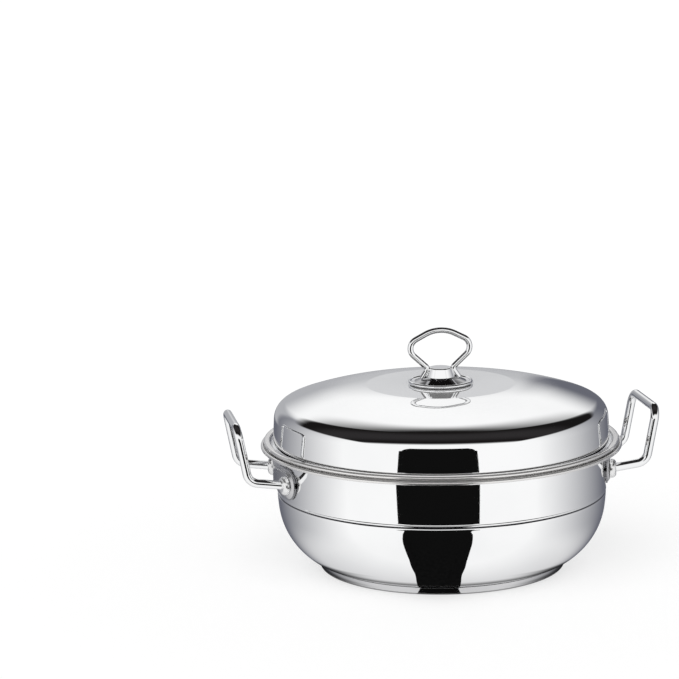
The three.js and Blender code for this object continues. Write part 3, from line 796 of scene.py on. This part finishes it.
def make_bracket(name, turned):
    """A pressed oblong plate that follows the wall: its section is walked inwards from the outline."""
    half = (HANDLE_SPAN + BRACKET_OVER - BRACKET_H) / 2
    end_r = BRACKET_H / 2
    section = path([
        (-end_r, 0),
        (0, 0, 0),
        (0, BRACKET_SHEET, BRACKET_EDGE_R),
        (-BRACKET_BORDER, BRACKET_SHEET, BRACKET_SLOPE_FOOT_R),
        (-BRACKET_BORDER - BRACKET_SLOPE_W, BRACKET_PROUD, BRACKET_FACE_R),
        (-end_r, BRACKET_PROUD),
    ], step=12)
    outline = []  # (middle of the end's arc or place on the side, its lift, then the direction outwards)
    for side, first in ((1, 90), (-1, 270)):
        for i in range(BRACKET_STEPS):
            outline.append((side * half * (1 - 2 * i / BRACKET_STEPS), side, 0.0, side))
        for i in range(BRACKET_STEPS):
            angle = math.radians(first + 180 * i / BRACKET_STEPS)
            outline.append((-side * half, math.sin(angle), math.cos(angle), math.sin(angle)))
    wall = WALL_R + GAP

    def placed(station, out, height, n_out, n_height):
        y0, lift, ny, nz = station
        y = y0 + ny * (end_r + out)
        z = handle_z + lift * (end_r + out)
        x = math.sqrt((wall + height) ** 2 - y ** 2)
        radial = Vector((x, y, 0)).normalized()
        sideways = Vector((-radial.y, radial.x, 0))
        normal = sideways * ny * n_out + UP * nz * n_out + radial * n_height
        return turned @ Vector((x, y, z)), turned.to_3x3() @ normal

    skin = Skin()
    for i, run in enumerate(section):
        rings = [[placed(station, *point) for station in outline] for point in run]
        # The first runs, on the cut edge, get painted shade
        skin.bridge(rings, 1 if i < BRACKET_EDGE_RUNS else 0)
    stand_for(name, "pot", "polished_steel", skin, pressed_steel, painted_shade_steel)


def make_handle_wire(name, turned):
    grip_x = bend_x + HANDLE_LEAN - GRIP_IN
    bend_z = handle_z + HANDLE_LIFT
    legs = []
    for y in (-leg_y, leg_y):
        foot = Vector((foot_x, y, handle_z))
        knee = Vector((bend_x, y, bend_z))
        start = foot + (knee - foot).normalized() * GAP
        legs.append([start, knee, Vector((grip_x, y, bend_z + HANDLE_RISE))])
    corners = legs[0] + legs[1][::-1]
    stations = bent_path([turned @ corner for corner in corners], [HANDLE_BEND_R] * 4)
    skin = Skin()
    sweep(skin, stations, WIRE_D / 2, UP)
    stand_for(name, "pot", "wire_steel", skin, wire)


def sweep(skin, stations, radius, first):
    """A round wire whose section is carried along without twist from its first side direction."""
    tangent = stations[0][1]
    side = (first - tangent * first.dot(tangent)).normalized()
    rings = []
    for point, direction in stations:
        side = tangent.rotation_difference(direction) @ side
        side = (side - direction * side.dot(direction)).normalized()
        tangent = direction
        other = direction.cross(side)
        ring = []
        for j in range(WIRE_ROUND):
            angle = 2 * math.pi * j / WIRE_ROUND
            offset = side * math.cos(angle) + other * math.sin(angle)
            ring.append((point + offset * radius, offset))
        rings.append(ring)
    skin.bridge(rings)
    skin.face([(point, -stations[0][1]) for point, _ in reversed(rings[0])])
    skin.face([(point, stations[-1][1]) for point, _ in rings[-1]])


def make_collar(name, y, turned):
    """A thick washer with a domed outer edge, slightly crowned towards the wire."""
    top = GAP + COLLAR_T
    edge = (COLLAR_D / 2 - COLLAR_EDGE, top - COLLAR_EDGE)
    rim = bend(edge, COLLAR_EDGE, 0, COLLAR_EDGE_TURN, step=6)
    profile = [
        line((0, GAP), (COLLAR_D / 2, GAP)),
        line((COLLAR_D / 2, GAP), rim[0][:2]),
        rim,
        line(rim[-1][:2], (0, top)),
    ]
    foot = Vector((foot_x, y, handle_z))
    facing = UP.rotation_difference(Vector((foot_x, y, 0)).normalized())
    place = turned @ Matrix.Translation(foot) @ facing.to_matrix().to_4x4()
    skin = Skin()
    spin(skin, profile, SMALL_ROUND, place)
    stand_for(name, "pot", "wire_steel", skin, boss_steel)


def make_handle(side, angle):
    turned = Matrix.Rotation(angle, 4, "Z")
    make_bracket(side + "_handle_bracket", turned)
    make_handle_wire(side + "_handle_wire", turned)
    make_collar(side + "_handle_collar_1", -leg_y, turned)
    make_collar(side + "_handle_collar_2", leg_y, turned)


# Lid
lid_z = POT_H + GAP
crown_z = lid_z + LID_H
gutter_z = flange_z + SHEET + GAP
rim_inner_r = rim_r - BEAD / 2 * (1 + math.cos(math.asin(1 - 2 * SHEET / BEAD)))
gutter_r = rim_inner_r - LID_PLAY
gutter_floor_r = gutter_r - GUTTER_SLOPE
lid_wall_r = gutter_floor_r - LID_SHEET - GUTTER_W


def lid_face(inset, foot):
    """Wall, shoulder, dome and flat crown of one face of the lid, from the wall's foot in to the axis."""
    shoulder = Vector((lid_wall_r - LID_DRAFT - SHOULDER_R, lid_z + LID_WALL_H))
    turn = math.radians(SHOULDER_TURN)
    out = Vector((math.cos(turn), math.sin(turn)))
    dome_start = shoulder + out * SHOULDER_R
    chord = dome_start - Vector((CROWN_R, crown_z))
    dome_radius = chord.length_squared / (2 * chord.dot(out))
    dome = dome_start - out * dome_radius
    crown_angle = math.degrees(math.atan2(crown_z - dome.y, CROWN_R - dome.x))
    reach = Vector(foot) - shoulder
    radius = SHOULDER_R - inset
    wall_angle = math.atan2(reach.y, reach.x) + math.acos(radius / reach.length)
    first = bend(shoulder, radius, math.degrees(wall_angle), SHOULDER_TURN)
    arch = bend(dome, dome_radius - inset, SHOULDER_TURN, crown_angle, step=0.5)
    arch[-1] = (CROWN_R, crown_z - inset, *arch[-1][2:])
    return [
        line(foot, first[0][:2]),
        first,
        arch,
        line((CROWN_R, crown_z - inset), (0, crown_z - inset)),
    ]


def reverse(runs):
    return [[(r, z, -out, -lift) for r, z, out, lift in run[::-1]] for run in runs[::-1]]


def lid_wall_at(z):
    return lid_wall_r - LID_DRAFT * (z - lid_z) / LID_WALL_H


def make_lid_shell():
    """The sheet runs down the wall, out in a gutter inside the pot's rim, and ends in a flat bead on it."""
    half = LID_BEAD_H / 2
    bead_low = flange_z + SHOWN_BEAD + GAP
    bead_middle = bead_low + half
    bead_r = shown_rim_r - LID_BEAD_IN
    bead_inner_r = bead_r - LID_BEAD_W
    gutter_top = gutter_z + LID_SHEET
    wall_low = gutter_top + GUTTER_FILLET
    inner_wall_r = lid_wall_r - LID_SHEET
    inner_foot = (inner_wall_r, gutter_z + LID_UNDER_WALL_RISE)
    outer_foot = (lid_wall_at(wall_low), wall_low)
    rim = bend((bead_r - half, bead_middle), half, -90, 90, step=8)
    under = path([
        inner_foot,
        (inner_wall_r, gutter_z, LID_UNDER_WALL_R),
        (gutter_floor_r, gutter_z, LID_UNDER_GUTTER_R),
        (gutter_r, bead_low, LID_UNDER_BEAD_R),
        rim[0][:2],
    ], step=10)
    over = bend((bead_inner_r + half, bead_middle), half, 90, 180, step=8)
    gutter = path([
        (bead_inner_r, bead_middle),
        (bead_inner_r - GUTTER_SIDE_LEAN, gutter_top, GUTTER_SIDE_BEND_R),
        (lid_wall_at(gutter_top), gutter_top, GUTTER_FILLET - GUTTER_FILLET_TRIM),
        outer_foot,
    ], step=6)
    skin = Skin()
    spin(skin, reverse(lid_face(LID_SHEET, inner_foot)), ROUND, zone=1)
    wall, shoulder, *dome = lid_face(0, outer_foot)
    spin(skin, [*gutter, wall, shoulder], ROUND)
    spin(skin, [*under, rim, line(rim[-1][:2], over[0][:2]), over], ROUND, zone=2)
    spin(skin, dome, ROUND, zone=3)
    stand_for("lid_shell", "lid", "polished_steel", skin, mirror, satin, edge_steel, dome_steel)


def make_knob_base():
    half = DISH_EDGE / 2
    edge = (DISH_R - half, crown_z + DISH_RISE)
    rim = bend(edge, half, *DISH_EDGE_TURN, step=8)
    under = path([
        (0, crown_z + GAP),
        (LEG_SPREAD + KNOB_WIRE_D / 2, crown_z + GAP, DISH_BEND_R),
        rim[0][:2],
    ], step=4)
    skirt_foot = (SKIRT_R, crown_z + SKIRT_RISE)
    bell_foot = (BELL_FOOT_R, crown_z + BELL_FOOT_RISE)
    bell = path([
        bell_foot,
        (BELL_TOP_R, crown_z + BELL_RISE, BELL_BEND_R),
        (0, crown_z + BELL_RISE),
    ], step=4)
    skin = Skin()
    spin(skin, [*under, rim, line(rim[-1][:2], skirt_foot), *bell], KNOB_ROUND)
    # The skirt gets painted shade
    spin(skin, [line(skirt_foot, bell_foot)], KNOB_ROUND, zone=1)
    stand_for("knob_base", "lid", "polished_steel", skin, mirror, painted_shade_skirt_steel)


def make_knob_loop():
    half = [(LEG_SPREAD, LEG_FOOT_Z), (NECK_X, NECK_Z), (LOOP_SIDE_X, LOOP_SIDE_Z)]
    outline = half + [(0, LOOP_TOP_Z)] + [(-x, z) for x, z in reversed(half)]
    corners = [Vector((x, 0, crown_z + z)) for x, z in outline]
    radii = [NECK_BEND_R, LOOP_SIDE_BEND_R, LOOP_TOP_BEND_R, LOOP_SIDE_BEND_R, NECK_BEND_R]
    skin = Skin()
    sweep(skin, bent_path(corners, radii), KNOB_WIRE_D / 2, Vector((0, 1, 0)))
    stand_for("knob_loop", "lid", "wire_steel", skin, wire)


# Steaming plates, in their own frame: z = 0 is the underside of the tees' feet
stem_inner_r = PLATE_R + GAP
stem_outer_r = stem_inner_r + STEM_T
plate_rim_z = PLATE_FLOOR_Z + PLATE_WALL_H
bar_z = plate_rim_z + GAP
rivet_z = PLATE_FLOOR_Z + PLATE_FILLET + RIVET_D / 2
flat_r = PLATE_R - PLATE_FILLET
floor_top = PLATE_FLOOR_Z + PLATE_SHEET
cup_r = (flat_r - CUP_WEB - CUP_MARGIN) / 3 - PLATE_SHEET
cup_ring = 2 * (cup_r + PLATE_SHEET) + CUP_WEB
tee_angles = [math.radians(TEE_ANGLE + 360 * i / TEE_COUNT) for i in range(TEE_COUNT)]


def plate_wall(skin, place):
    """The turn and the wall of a plate, both faces, with a rounded upper edge."""
    centre = (PLATE_R - PLATE_FILLET, PLATE_FLOOR_Z + PLATE_FILLET)
    half = PLATE_SHEET / 2
    runs = [
        bend(centre, PLATE_FILLET, -90, 0),
        line((PLATE_R, centre[1]), (PLATE_R, plate_rim_z - half)),
        bend((PLATE_R - half, plate_rim_z - half), half, 0, 180, step=20),
        line((PLATE_R - PLATE_SHEET, plate_rim_z - half), (PLATE_R - PLATE_SHEET, centre[1])),
        bend(centre, PLATE_FILLET - PLATE_SHEET, 0, -90),
    ]
    spin(skin, runs, PLATE_ROUND, place)


def make_lower_dish(base_z):
    place = Matrix.Translation((0, 0, base_z))
    skin = Skin()
    plate_wall(skin, place)
    centres = [(0, 0)]
    rings = int((flat_r - STEAM_HOLE_D) / STEAM_HOLE_PITCH)
    for ring in range(1, rings + 1):
        centres += circle((0, 0), ring * STEAM_HOLE_PITCH, ring * STEAM_HOLES_MORE)
    holes = [circle(centre, STEAM_HOLE_D / 2, HOLE_ROUND) for centre in centres]
    outer = circle((0, 0), flat_r, PLATE_ROUND)
    flat(skin, outer, holes, floor_top, 1, place)
    flat(skin, outer, holes, PLATE_FLOOR_Z, -1, place)
    for hole in holes:
        hole_wall(skin, hole, base_z + PLATE_FLOOR_Z, base_z + floor_top)
    stand_for("lower_plate_dish", "lower_plate", "plate_steel", skin, plate)


def cup_runs(bottom_z, mouth_r, top_z, lip, facing):
    """One face of a cup: bottom edge, swept side and a rolled lip that meets the plate's floor."""
    start = Vector((CUP_FLOOR_R, bottom_z))
    knee = Vector((mouth_r, bottom_z))
    end = Vector((mouth_r, top_z - lip))
    run = []
    for i in range(CUP_STEPS + 1):
        t = i / CUP_STEPS
        point = start * (1 - t) ** 2 + knee * 2 * t * (1 - t) + end * t ** 2
        along = ((knee - start) * (1 - t) + (end - knee) * t).normalized()
        run.append((point.x, point.y, along.y, -along.x))
    runs = [run, bend((mouth_r + lip, top_z - lip), lip, 180, 90, step=10)]
    return runs if facing < 0 else reverse(runs)


def make_upper_dish(base_z):
    place = Matrix.Translation((0, 0, base_z))
    skin = Skin()
    plate_wall(skin, place)
    lip_under = CUP_LIP_R - PLATE_SHEET
    under_mouth = cup_r + PLATE_SHEET
    bottom = PLATE_FLOOR_Z - CUP_DEPTH
    centres = [Vector((0, 0)), *circle((0, 0), cup_ring, CUPS_ROUND_THE_MIDDLE)]
    outer = circle((0, 0), flat_r, PLATE_ROUND)
    top_mouths = [circle(centre, cup_r + CUP_LIP_R, CUP_ROUND) for centre in centres]
    under_mouths = [circle(centre, under_mouth + lip_under, CUP_ROUND) for centre in centres]
    flat(skin, outer, top_mouths, floor_top, 1, place)
    flat(skin, outer, under_mouths, PLATE_FLOOR_Z, -1, place)
    for centre in centres:
        cup_place = place @ Matrix.Translation((centre.x, centre.y, 0))
        above = cup_runs(bottom + PLATE_SHEET, cup_r, floor_top, CUP_LIP_R, 1)
        below = cup_runs(bottom, under_mouth, PLATE_FLOOR_Z, lip_under, -1)
        spin(skin, [*above, *below], CUP_ROUND, cup_place)
        disc = circle(centre, CUP_FLOOR_R, CUP_ROUND)
        spots = circle(centre, CUP_HOLE_RING, CUP_HOLES, math.radians(90))
        holes = [circle(spot, CUP_HOLE_D / 2, HOLE_ROUND) for spot in spots]
        flat(skin, disc, holes, bottom + PLATE_SHEET, 1, place)
        flat(skin, disc, holes, bottom, -1, place)
        for hole in holes:
            hole_wall(skin, hole, base_z + bottom, base_z + bottom + PLATE_SHEET)
    stand_for("upper_plate_dish", "upper_plate", "plate_steel", skin, plate)


def outline_mesh(name, outline, start, end, to_space):
    """A prism of a closed outline between two depths."""
    count = len(outline)
    points = [to_space(p, depth) * MM for depth in (start, end) for p in outline]
    faces = [list(range(count))[::-1], list(range(count, 2 * count))]
    faces += [[i, (i + 1) % count, count + (i + 1) % count, count + i] for i in range(count)]
    mesh = bpy.data.meshes.new(name)
    mesh.from_pydata(points, [], faces)
    mesh.update()
    return shown(name, mesh)


def tee_front():
    """The tee seen along the plate's radius."""
    stem = STEM_W / 2
    end = (TEE_H - bar_z) / 2
    bar = BAR_L / 2 - end
    right = [(FOOT_W / 2, 0), (FOOT_W / 2, FOOT_T - FOOT_EDGE), (stem, FOOT_T + FOOT_CHAMFER)]
    fillet = (stem + TEE_FILLET, bar_z - TEE_FILLET)
    right += [run[:2] for run in bend(fillet, TEE_FILLET, 180, 90, step=9)]
    right += [run[:2] for run in bend((bar, bar_z + end), end, -90, 90, step=9)]
    return [Vector(p) for p in right] + [Vector((-x, z)) for x, z in reversed(right)]


def tee_side():
    """The tee seen along its cross-bar: radius and height."""
    bar_inner = PLATE_R - BAR_IN
    bar_outer = stem_outer_r + BAR_OUT
    foot_inner = PLATE_R - FOOT_IN
    points = [
        (foot_inner, 0),
        (stem_outer_r - FOOT_CHAMFER, 0),
        (stem_outer_r, FOOT_CHAMFER_RISE),
        (stem_outer_r, rivet_z + RIVET_HEAD_D / 2 + GAP),
        (bar_outer, bar_z + BAR_EDGE),
        (bar_outer, TEE_H),
        (bar_inner, TEE_H),
        (bar_inner, bar_z),
        (stem_inner_r, bar_z),
        (stem_inner_r, PLATE_FLOOR_Z + PLATE_FILLET / 2),
        (foot_inner, FOOT_T),
    ]
    return [Vector(p) for p in points]


def make_tee_mesh():
    """Where the tee's front and side outlines meet, with its edges rounded."""
    near, far = PLATE_R - TEE_BLOCK, PLATE_R + TEE_BLOCK
    front = outline_mesh("tee_front", tee_front(), near, far, lambda p, d: Vector((d, p.x, p.y)))
    side = outline_mesh("tee_side", tee_side(), BAR_L, -BAR_L, lambda p, d: Vector((p.x, d, p.y)))
    cut = front.modifiers.new("side", "BOOLEAN")
    cut.operation = "INTERSECT"
    cut.solver = "EXACT"
    cut.object = side
    edge = front.modifiers.new("edges", "BEVEL")
    edge.width = TEE_ROUNDING * MM
    edge.segments = TEE_ROUNDING_SEGMENTS
    edge.limit_method = "ANGLE"
    edge.angle_limit = math.radians(TEE_ROUNDED_FROM)
    edge.harden_normals = True
    bpy.context.view_layer.update()
    graph = bpy.context.evaluated_depsgraph_get()
    mesh = bpy.data.meshes.new_from_object(front.evaluated_get(graph))
    for piece in (front, side):
        old = piece.data
        bpy.data.objects.remove(piece)
        bpy.data.meshes.remove(old)
    mesh.materials.clear()
    mesh.materials.append(black)
    return mesh


def make_rivet(name, body, place):
    """A domed head outside the tee, a shank, and a clenched tail inside the plate's wall."""
    tail = PLATE_R - PLATE_SHEET - GAP
    head = stem_outer_r + GAP
    head_r = RIVET_HEAD_D / 2
    rise = RIVET_HEAD_T - RIVET_HEAD_EDGE
    dome_r = (head_r ** 2 + rise ** 2) / (2 * rise)
    dome_z = head + RIVET_HEAD_T - dome_r
    spread = math.degrees(math.asin(head_r / dome_r))
    runs = path([
        (0, tail - RIVET_TAIL_T),
        (RIVET_TAIL_D / 2, tail - RIVET_TAIL_T, RIVET_TAIL_END_R),
        (RIVET_TAIL_D / 2, tail, RIVET_TAIL_FOOT_R),
        (RIVET_D / 2, tail, 0),
        (RIVET_D / 2, head, 0),
        (head_r, head, 0),
        (head_r, head + RIVET_HEAD_EDGE),
    ], step=15)
    runs.append(bend((0, dome_z), dome_r, 90 - spread, 90))
    skin = Skin()
    spin(skin, runs, RIVET_ROUND, place)
    stand_for(name, body, "wire_steel", skin, rivet_steel)


def make_plate_fittings(body, base_z, tee_mesh):
    out = Matrix.Rotation(math.pi / 2, 4, "Y")
    for i, angle in enumerate(tee_angles, 1):
        turned = Matrix.Rotation(angle, 4, "Z")
        mesh = tee_mesh.copy()
        mesh.transform(Matrix.Translation((0, 0, base_z * MM)) @ turned)
        tee = shown(f"{body}_tee_{i}_shown", mesh)
        dress(tee, f"{body}_tee_{i}", body)
        rivet_place = Matrix.Translation((0, 0, base_z + rivet_z)) @ turned @ out
        make_rivet(f"{body}_rivet_{i}", body, rivet_place)


# Studio
def make_camera():
    elevation = math.radians(CAMERA_ELEVATION)
    back = FRONT * math.cos(elevation) + UP * math.sin(elevation)
    right = UP.cross(back).normalized()
    aim = Matrix((right, back.cross(right), back)).transposed()
    for axis, angle in (("Y", CAMERA_YAW), ("X", CAMERA_PITCH), ("Z", -CAMERA_ROLL)):
        aim = aim @ Matrix.Rotation(math.radians(angle), 3, axis)
    data = bpy.data.cameras.new("camera")
    data.lens = CAMERA_LENS
    data.sensor_width = SENSOR
    camera = bpy.data.objects.new("camera", data)
    camera.matrix_world = Matrix.Translation(CAMERA_TARGET + back * CAMERA_DISTANCE) @ aim.to_4x4()
    bpy.context.collection.objects.link(camera)
    bpy.context.scene.camera = camera


def along(graph, vector, direction):
    return graph.add("VectorMath", {0: vector, 1: direction}, operation="DOT_PRODUCT").outputs["Value"]


def dark_panel(graph, f, s, z):
    """How much of the panel a direction meets, and the panel's tone there."""
    rise = graph.math("MAXIMUM", z, CEILING_LEAST_RISE)
    lean = graph.math("DIVIDE", f, rise)
    sideways = graph.math("DIVIDE", s, rise)
    aside = graph.math("ABSOLUTE", sideways)
    bow = graph.math("MULTIPLY", aside, aside)
    back = graph.math("MULTIPLY_ADD", bow, PANEL_BACK_BOW, graph.math("ADD", lean, PANEL_BACK))
    softness = graph.math("MULTIPLY_ADD", bow, PANEL_SOFT_BOW, PANEL_SOFT)
    tip = graph.math("ADD", lean, graph.ramp(sideways, -1.0, 1.0, *PANEL_TIPS, smooth=False))
    share = graph.all_of(
        graph.ramp(graph.math("DIVIDE", back, softness), -1.0, 1.0),
        graph.ramp(tip, -PANEL_TIP_SOFT, PANEL_TIP_SOFT),
        graph.ramp(lean, *PANEL_FRONT, 1, 0),
        graph.ramp(aside, *PANEL_SIDE, 1, 0),
        graph.ramp(z, *PANEL_LOWEST),
    )
    off_middle = graph.ramp(graph.math("ABSOLUTE", lean), *PANEL_MIDDLE)
    return share, graph.mix(off_middle, PANEL_MIDDLE_TONE, PANEL_EDGE_TONE)


def room_tone(graph, f, s, z):
    """The room, its table below and the pale card at its back."""
    lit = graph.ramp(f, *ROOM_LIT, smooth=False)
    room = graph.mix(lit, ROOM_BACK_TONE, grey(1.0))
    table = graph.mix(lit, TABLE_BACK_TONE, grey(TABLE_FRONT))
    room = graph.mix(graph.ramp(z, *TABLE_EDGE, 1, 0), room, table)
    card = graph.all_of(
        graph.ramp(s, *CARD_RIGHT, 1, 0),
        graph.ramp(f, *CARD_FRONT, 1, 0),
        graph.ramp(s, *CARD_LEFT),
        graph.ramp(z, *CARD_FOOT),
    )
    return graph.mix(card, room, CARD_TONE)


def room_share(graph, s, z):
    """How much of the room a direction meets before the white above it."""
    off_axis = graph.math("ABSOLUTE", s)
    climb = graph.ramp(off_axis, *ROOM_CLIMB, 0.0, ROOM_CLIMB_H, smooth=False)
    low = graph.ramp(graph.math("SUBTRACT", z, climb), *ROOM_TOP, 1, 0)
    wings = graph.all_of(graph.ramp(off_axis, *WING_EDGE), graph.ramp(z, *WING_TOP, 1, 0))
    return graph.math("MAXIMUM", low, wings)


def make_world():
    """White all round for the camera. What the steel mirrors is a room lit from the front: it greys towards
    the back, where a pale card stands to the left, and it has white above and an unlit dark panel overhead.
    Other surfaces get an even half-strength fill."""
    world = bpy.data.worlds.new("studio")
    world.use_nodes = True
    bpy.context.scene.world = world
    graph = Graph(world.node_tree)
    direction = graph.spot("Generated")
    f, s, z = (along(graph, direction, axis) for axis in (FRONT, SIDE, UP))
    tone = graph.mix(room_share(graph, s, z), grey(1.0), room_tone(graph, f, s, z))
    share, panel_tone = dark_panel(graph, f, s, z)
    tone = graph.mix(share, tone, panel_tone)
    rays = graph.add("LightPath").outputs
    studio = graph.add("Background", {"Color": tone, "Strength": 1.0})
    plain = graph.add("Background", {"Color": grey(1.0), "Strength": 1.0})
    fill = graph.add("Background", {"Color": grey(1.0), "Strength": FILL_STRENGTH})
    seen = graph.math("MAXIMUM", rays["Is Glossy Ray"], rays["Is Transmission Ray"])
    lit = graph.blend(seen, fill, studio)
    graph.add("OutputWorld", {"Surface": graph.blend(rays["Is Camera Ray"], lit, plain).outputs[0]})


def stage_mesh(name, points, faces, material):
    mesh = bpy.data.meshes.new(name)
    mesh.from_pydata(points, [], faces)
    mesh.materials.append(material)
    mesh.update()
    piece = shown(name, mesh)
    piece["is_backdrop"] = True
    return piece


def make_floor():
    """A white sweep: near the pot half of its white is lit, so that the pot's shadow shows on it. The steel
    sees the room's tones through it, and a shadow painted black on it under the bowl, except ahead, and
    where the base meets it."""
    material, graph = new_material("floor")
    place = graph.spot()
    f = along(graph, place, FRONT)
    s = along(graph, place, SIDE)
    away = graph.length(f, s)
    lit = graph.ramp(away, *FLOOR_LIT, FLOOR_LIT_SHARE, 0.0)
    glow = graph.math("SUBTRACT", FLOOR_GLOW, lit)
    # Painted shadow for glossy rays: black under the bowl's overhang, except ahead, and darkest round the
    # base's foot
    ahead = graph.ramp(graph.math("DIVIDE", f, away), *AHEAD, AHEAD_LEAST, 1.0)
    overhang = graph.math("MAXIMUM", graph.ramp(away, *OVERHANG), ahead)
    free_of_painted_shadow = graph.all_of(overhang, graph.ramp(away, *CONTACT, CONTACT_LEAST, 1.0))
    shade = graph.add("BsdfDiffuse", {"Color": graph.mix(lit, grey(0.0), grey(1.0))})
    glowing = graph.add("Emission", {"Color": grey(1.0), "Strength": glow})
    seen = graph.add("AddShader", {0: shade.outputs[0], 1: glowing.outputs[0]})
    clear = graph.add("BsdfTransparent", {"Color": grey(1.0)})
    painted_shadow = graph.add("Emission", {"Color": grey(0.0), "Strength": 1.0})
    plain = graph.add("BsdfDiffuse", {"Color": grey(0.5)})
    rays = graph.add("LightPath").outputs
    mirrored = graph.blend(rays["Is Glossy Ray"], plain, graph.blend(free_of_painted_shadow, painted_shadow, clear))
    final = graph.blend(rays["Is Camera Ray"], mirrored, seen)
    graph.add("OutputMaterial", {"Surface": final.outputs[0]})
    points = [Vector((*point, FLOOR_Z)) for point in circle((0, 0), FLOOR_R, FLOOR_ROUND)]
    stage_mesh("floor", points, [list(range(len(points)))], material)


def make_flag():
    """Black cloth on the table in front of the pot and up behind it: only the steel sees it."""
    material, graph = new_material("black_flag")
    weave = graph.noise(graph.spot(), FLAG_WEAVE)
    tone = graph.mix(weave, *map(grey, FLAG_TONES))
    glow = graph.add("Emission", {"Color": tone, "Strength": 1.0})
    graph.add("OutputMaterial", {"Surface": glow.outputs[0]})
    rows = [(FRONT * ahead + UP * FLAG_Z, left, right) for ahead, left, right in FLAG_OUTLINE]
    far = FRONT * FLAG_OUTLINE[-1][0]
    rows += [(far + UP * height, left, right) for height, left, right in FLAG_BACK]
    points = [middle - SIDE * left for middle, left, _ in rows]
    points += [middle + SIDE * right for middle, _, right in rows]
    count = len(rows)
    faces = [[i, count + i, count + i + 1, i + 1] for i in range(count - 1)]
    flag = stage_mesh("black_flag", points, faces, material)
    for ray in ("camera", "diffuse", "shadow", "transmission"):
        setattr(flag, "visible_" + ray, False)


def make_lamp():
    """One very wide soft light from the front left. The steel doesn't mirror it."""
    data = bpy.data.lights.new("key", "SUN")
    data.energy = math.pi * KEY_LEVEL
    data.angle = math.radians(KEY_SPREAD)
    lamp = bpy.data.objects.new("key", data)
    lamp.rotation_euler = (*map(math.radians, KEY_TILT), 0)
    lamp.visible_glossy = False
    bpy.context.collection.objects.link(lamp)


make_pot_body()
make_base_cap()
make_handle("right", 0)
make_handle("left", math.pi)
make_lid_shell()
make_knob_base()
make_knob_loop()
lower_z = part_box("lower_plate_tee_1")[0][2] / MM
upper_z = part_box("upper_plate_tee_1")[0][2] / MM
make_lower_dish(lower_z)
make_upper_dish(upper_z)
tee = make_tee_mesh()
make_plate_fittings("lower_plate", lower_z, tee)
make_plate_fittings("upper_plate", upper_z, tee)
bpy.data.meshes.remove(tee)

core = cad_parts["base_core"]
core.data.materials.clear()
core.data.materials.append(aluminium)

make_camera()
make_world()
make_floor()
make_flag()
make_lamp()
bpy.context.scene.view_settings.view_transform = "Standard"

boxes = {"cad": cad_box, "visual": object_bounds()}
{name: [list(corner) for corner in box] for name, box in boxes.items()}
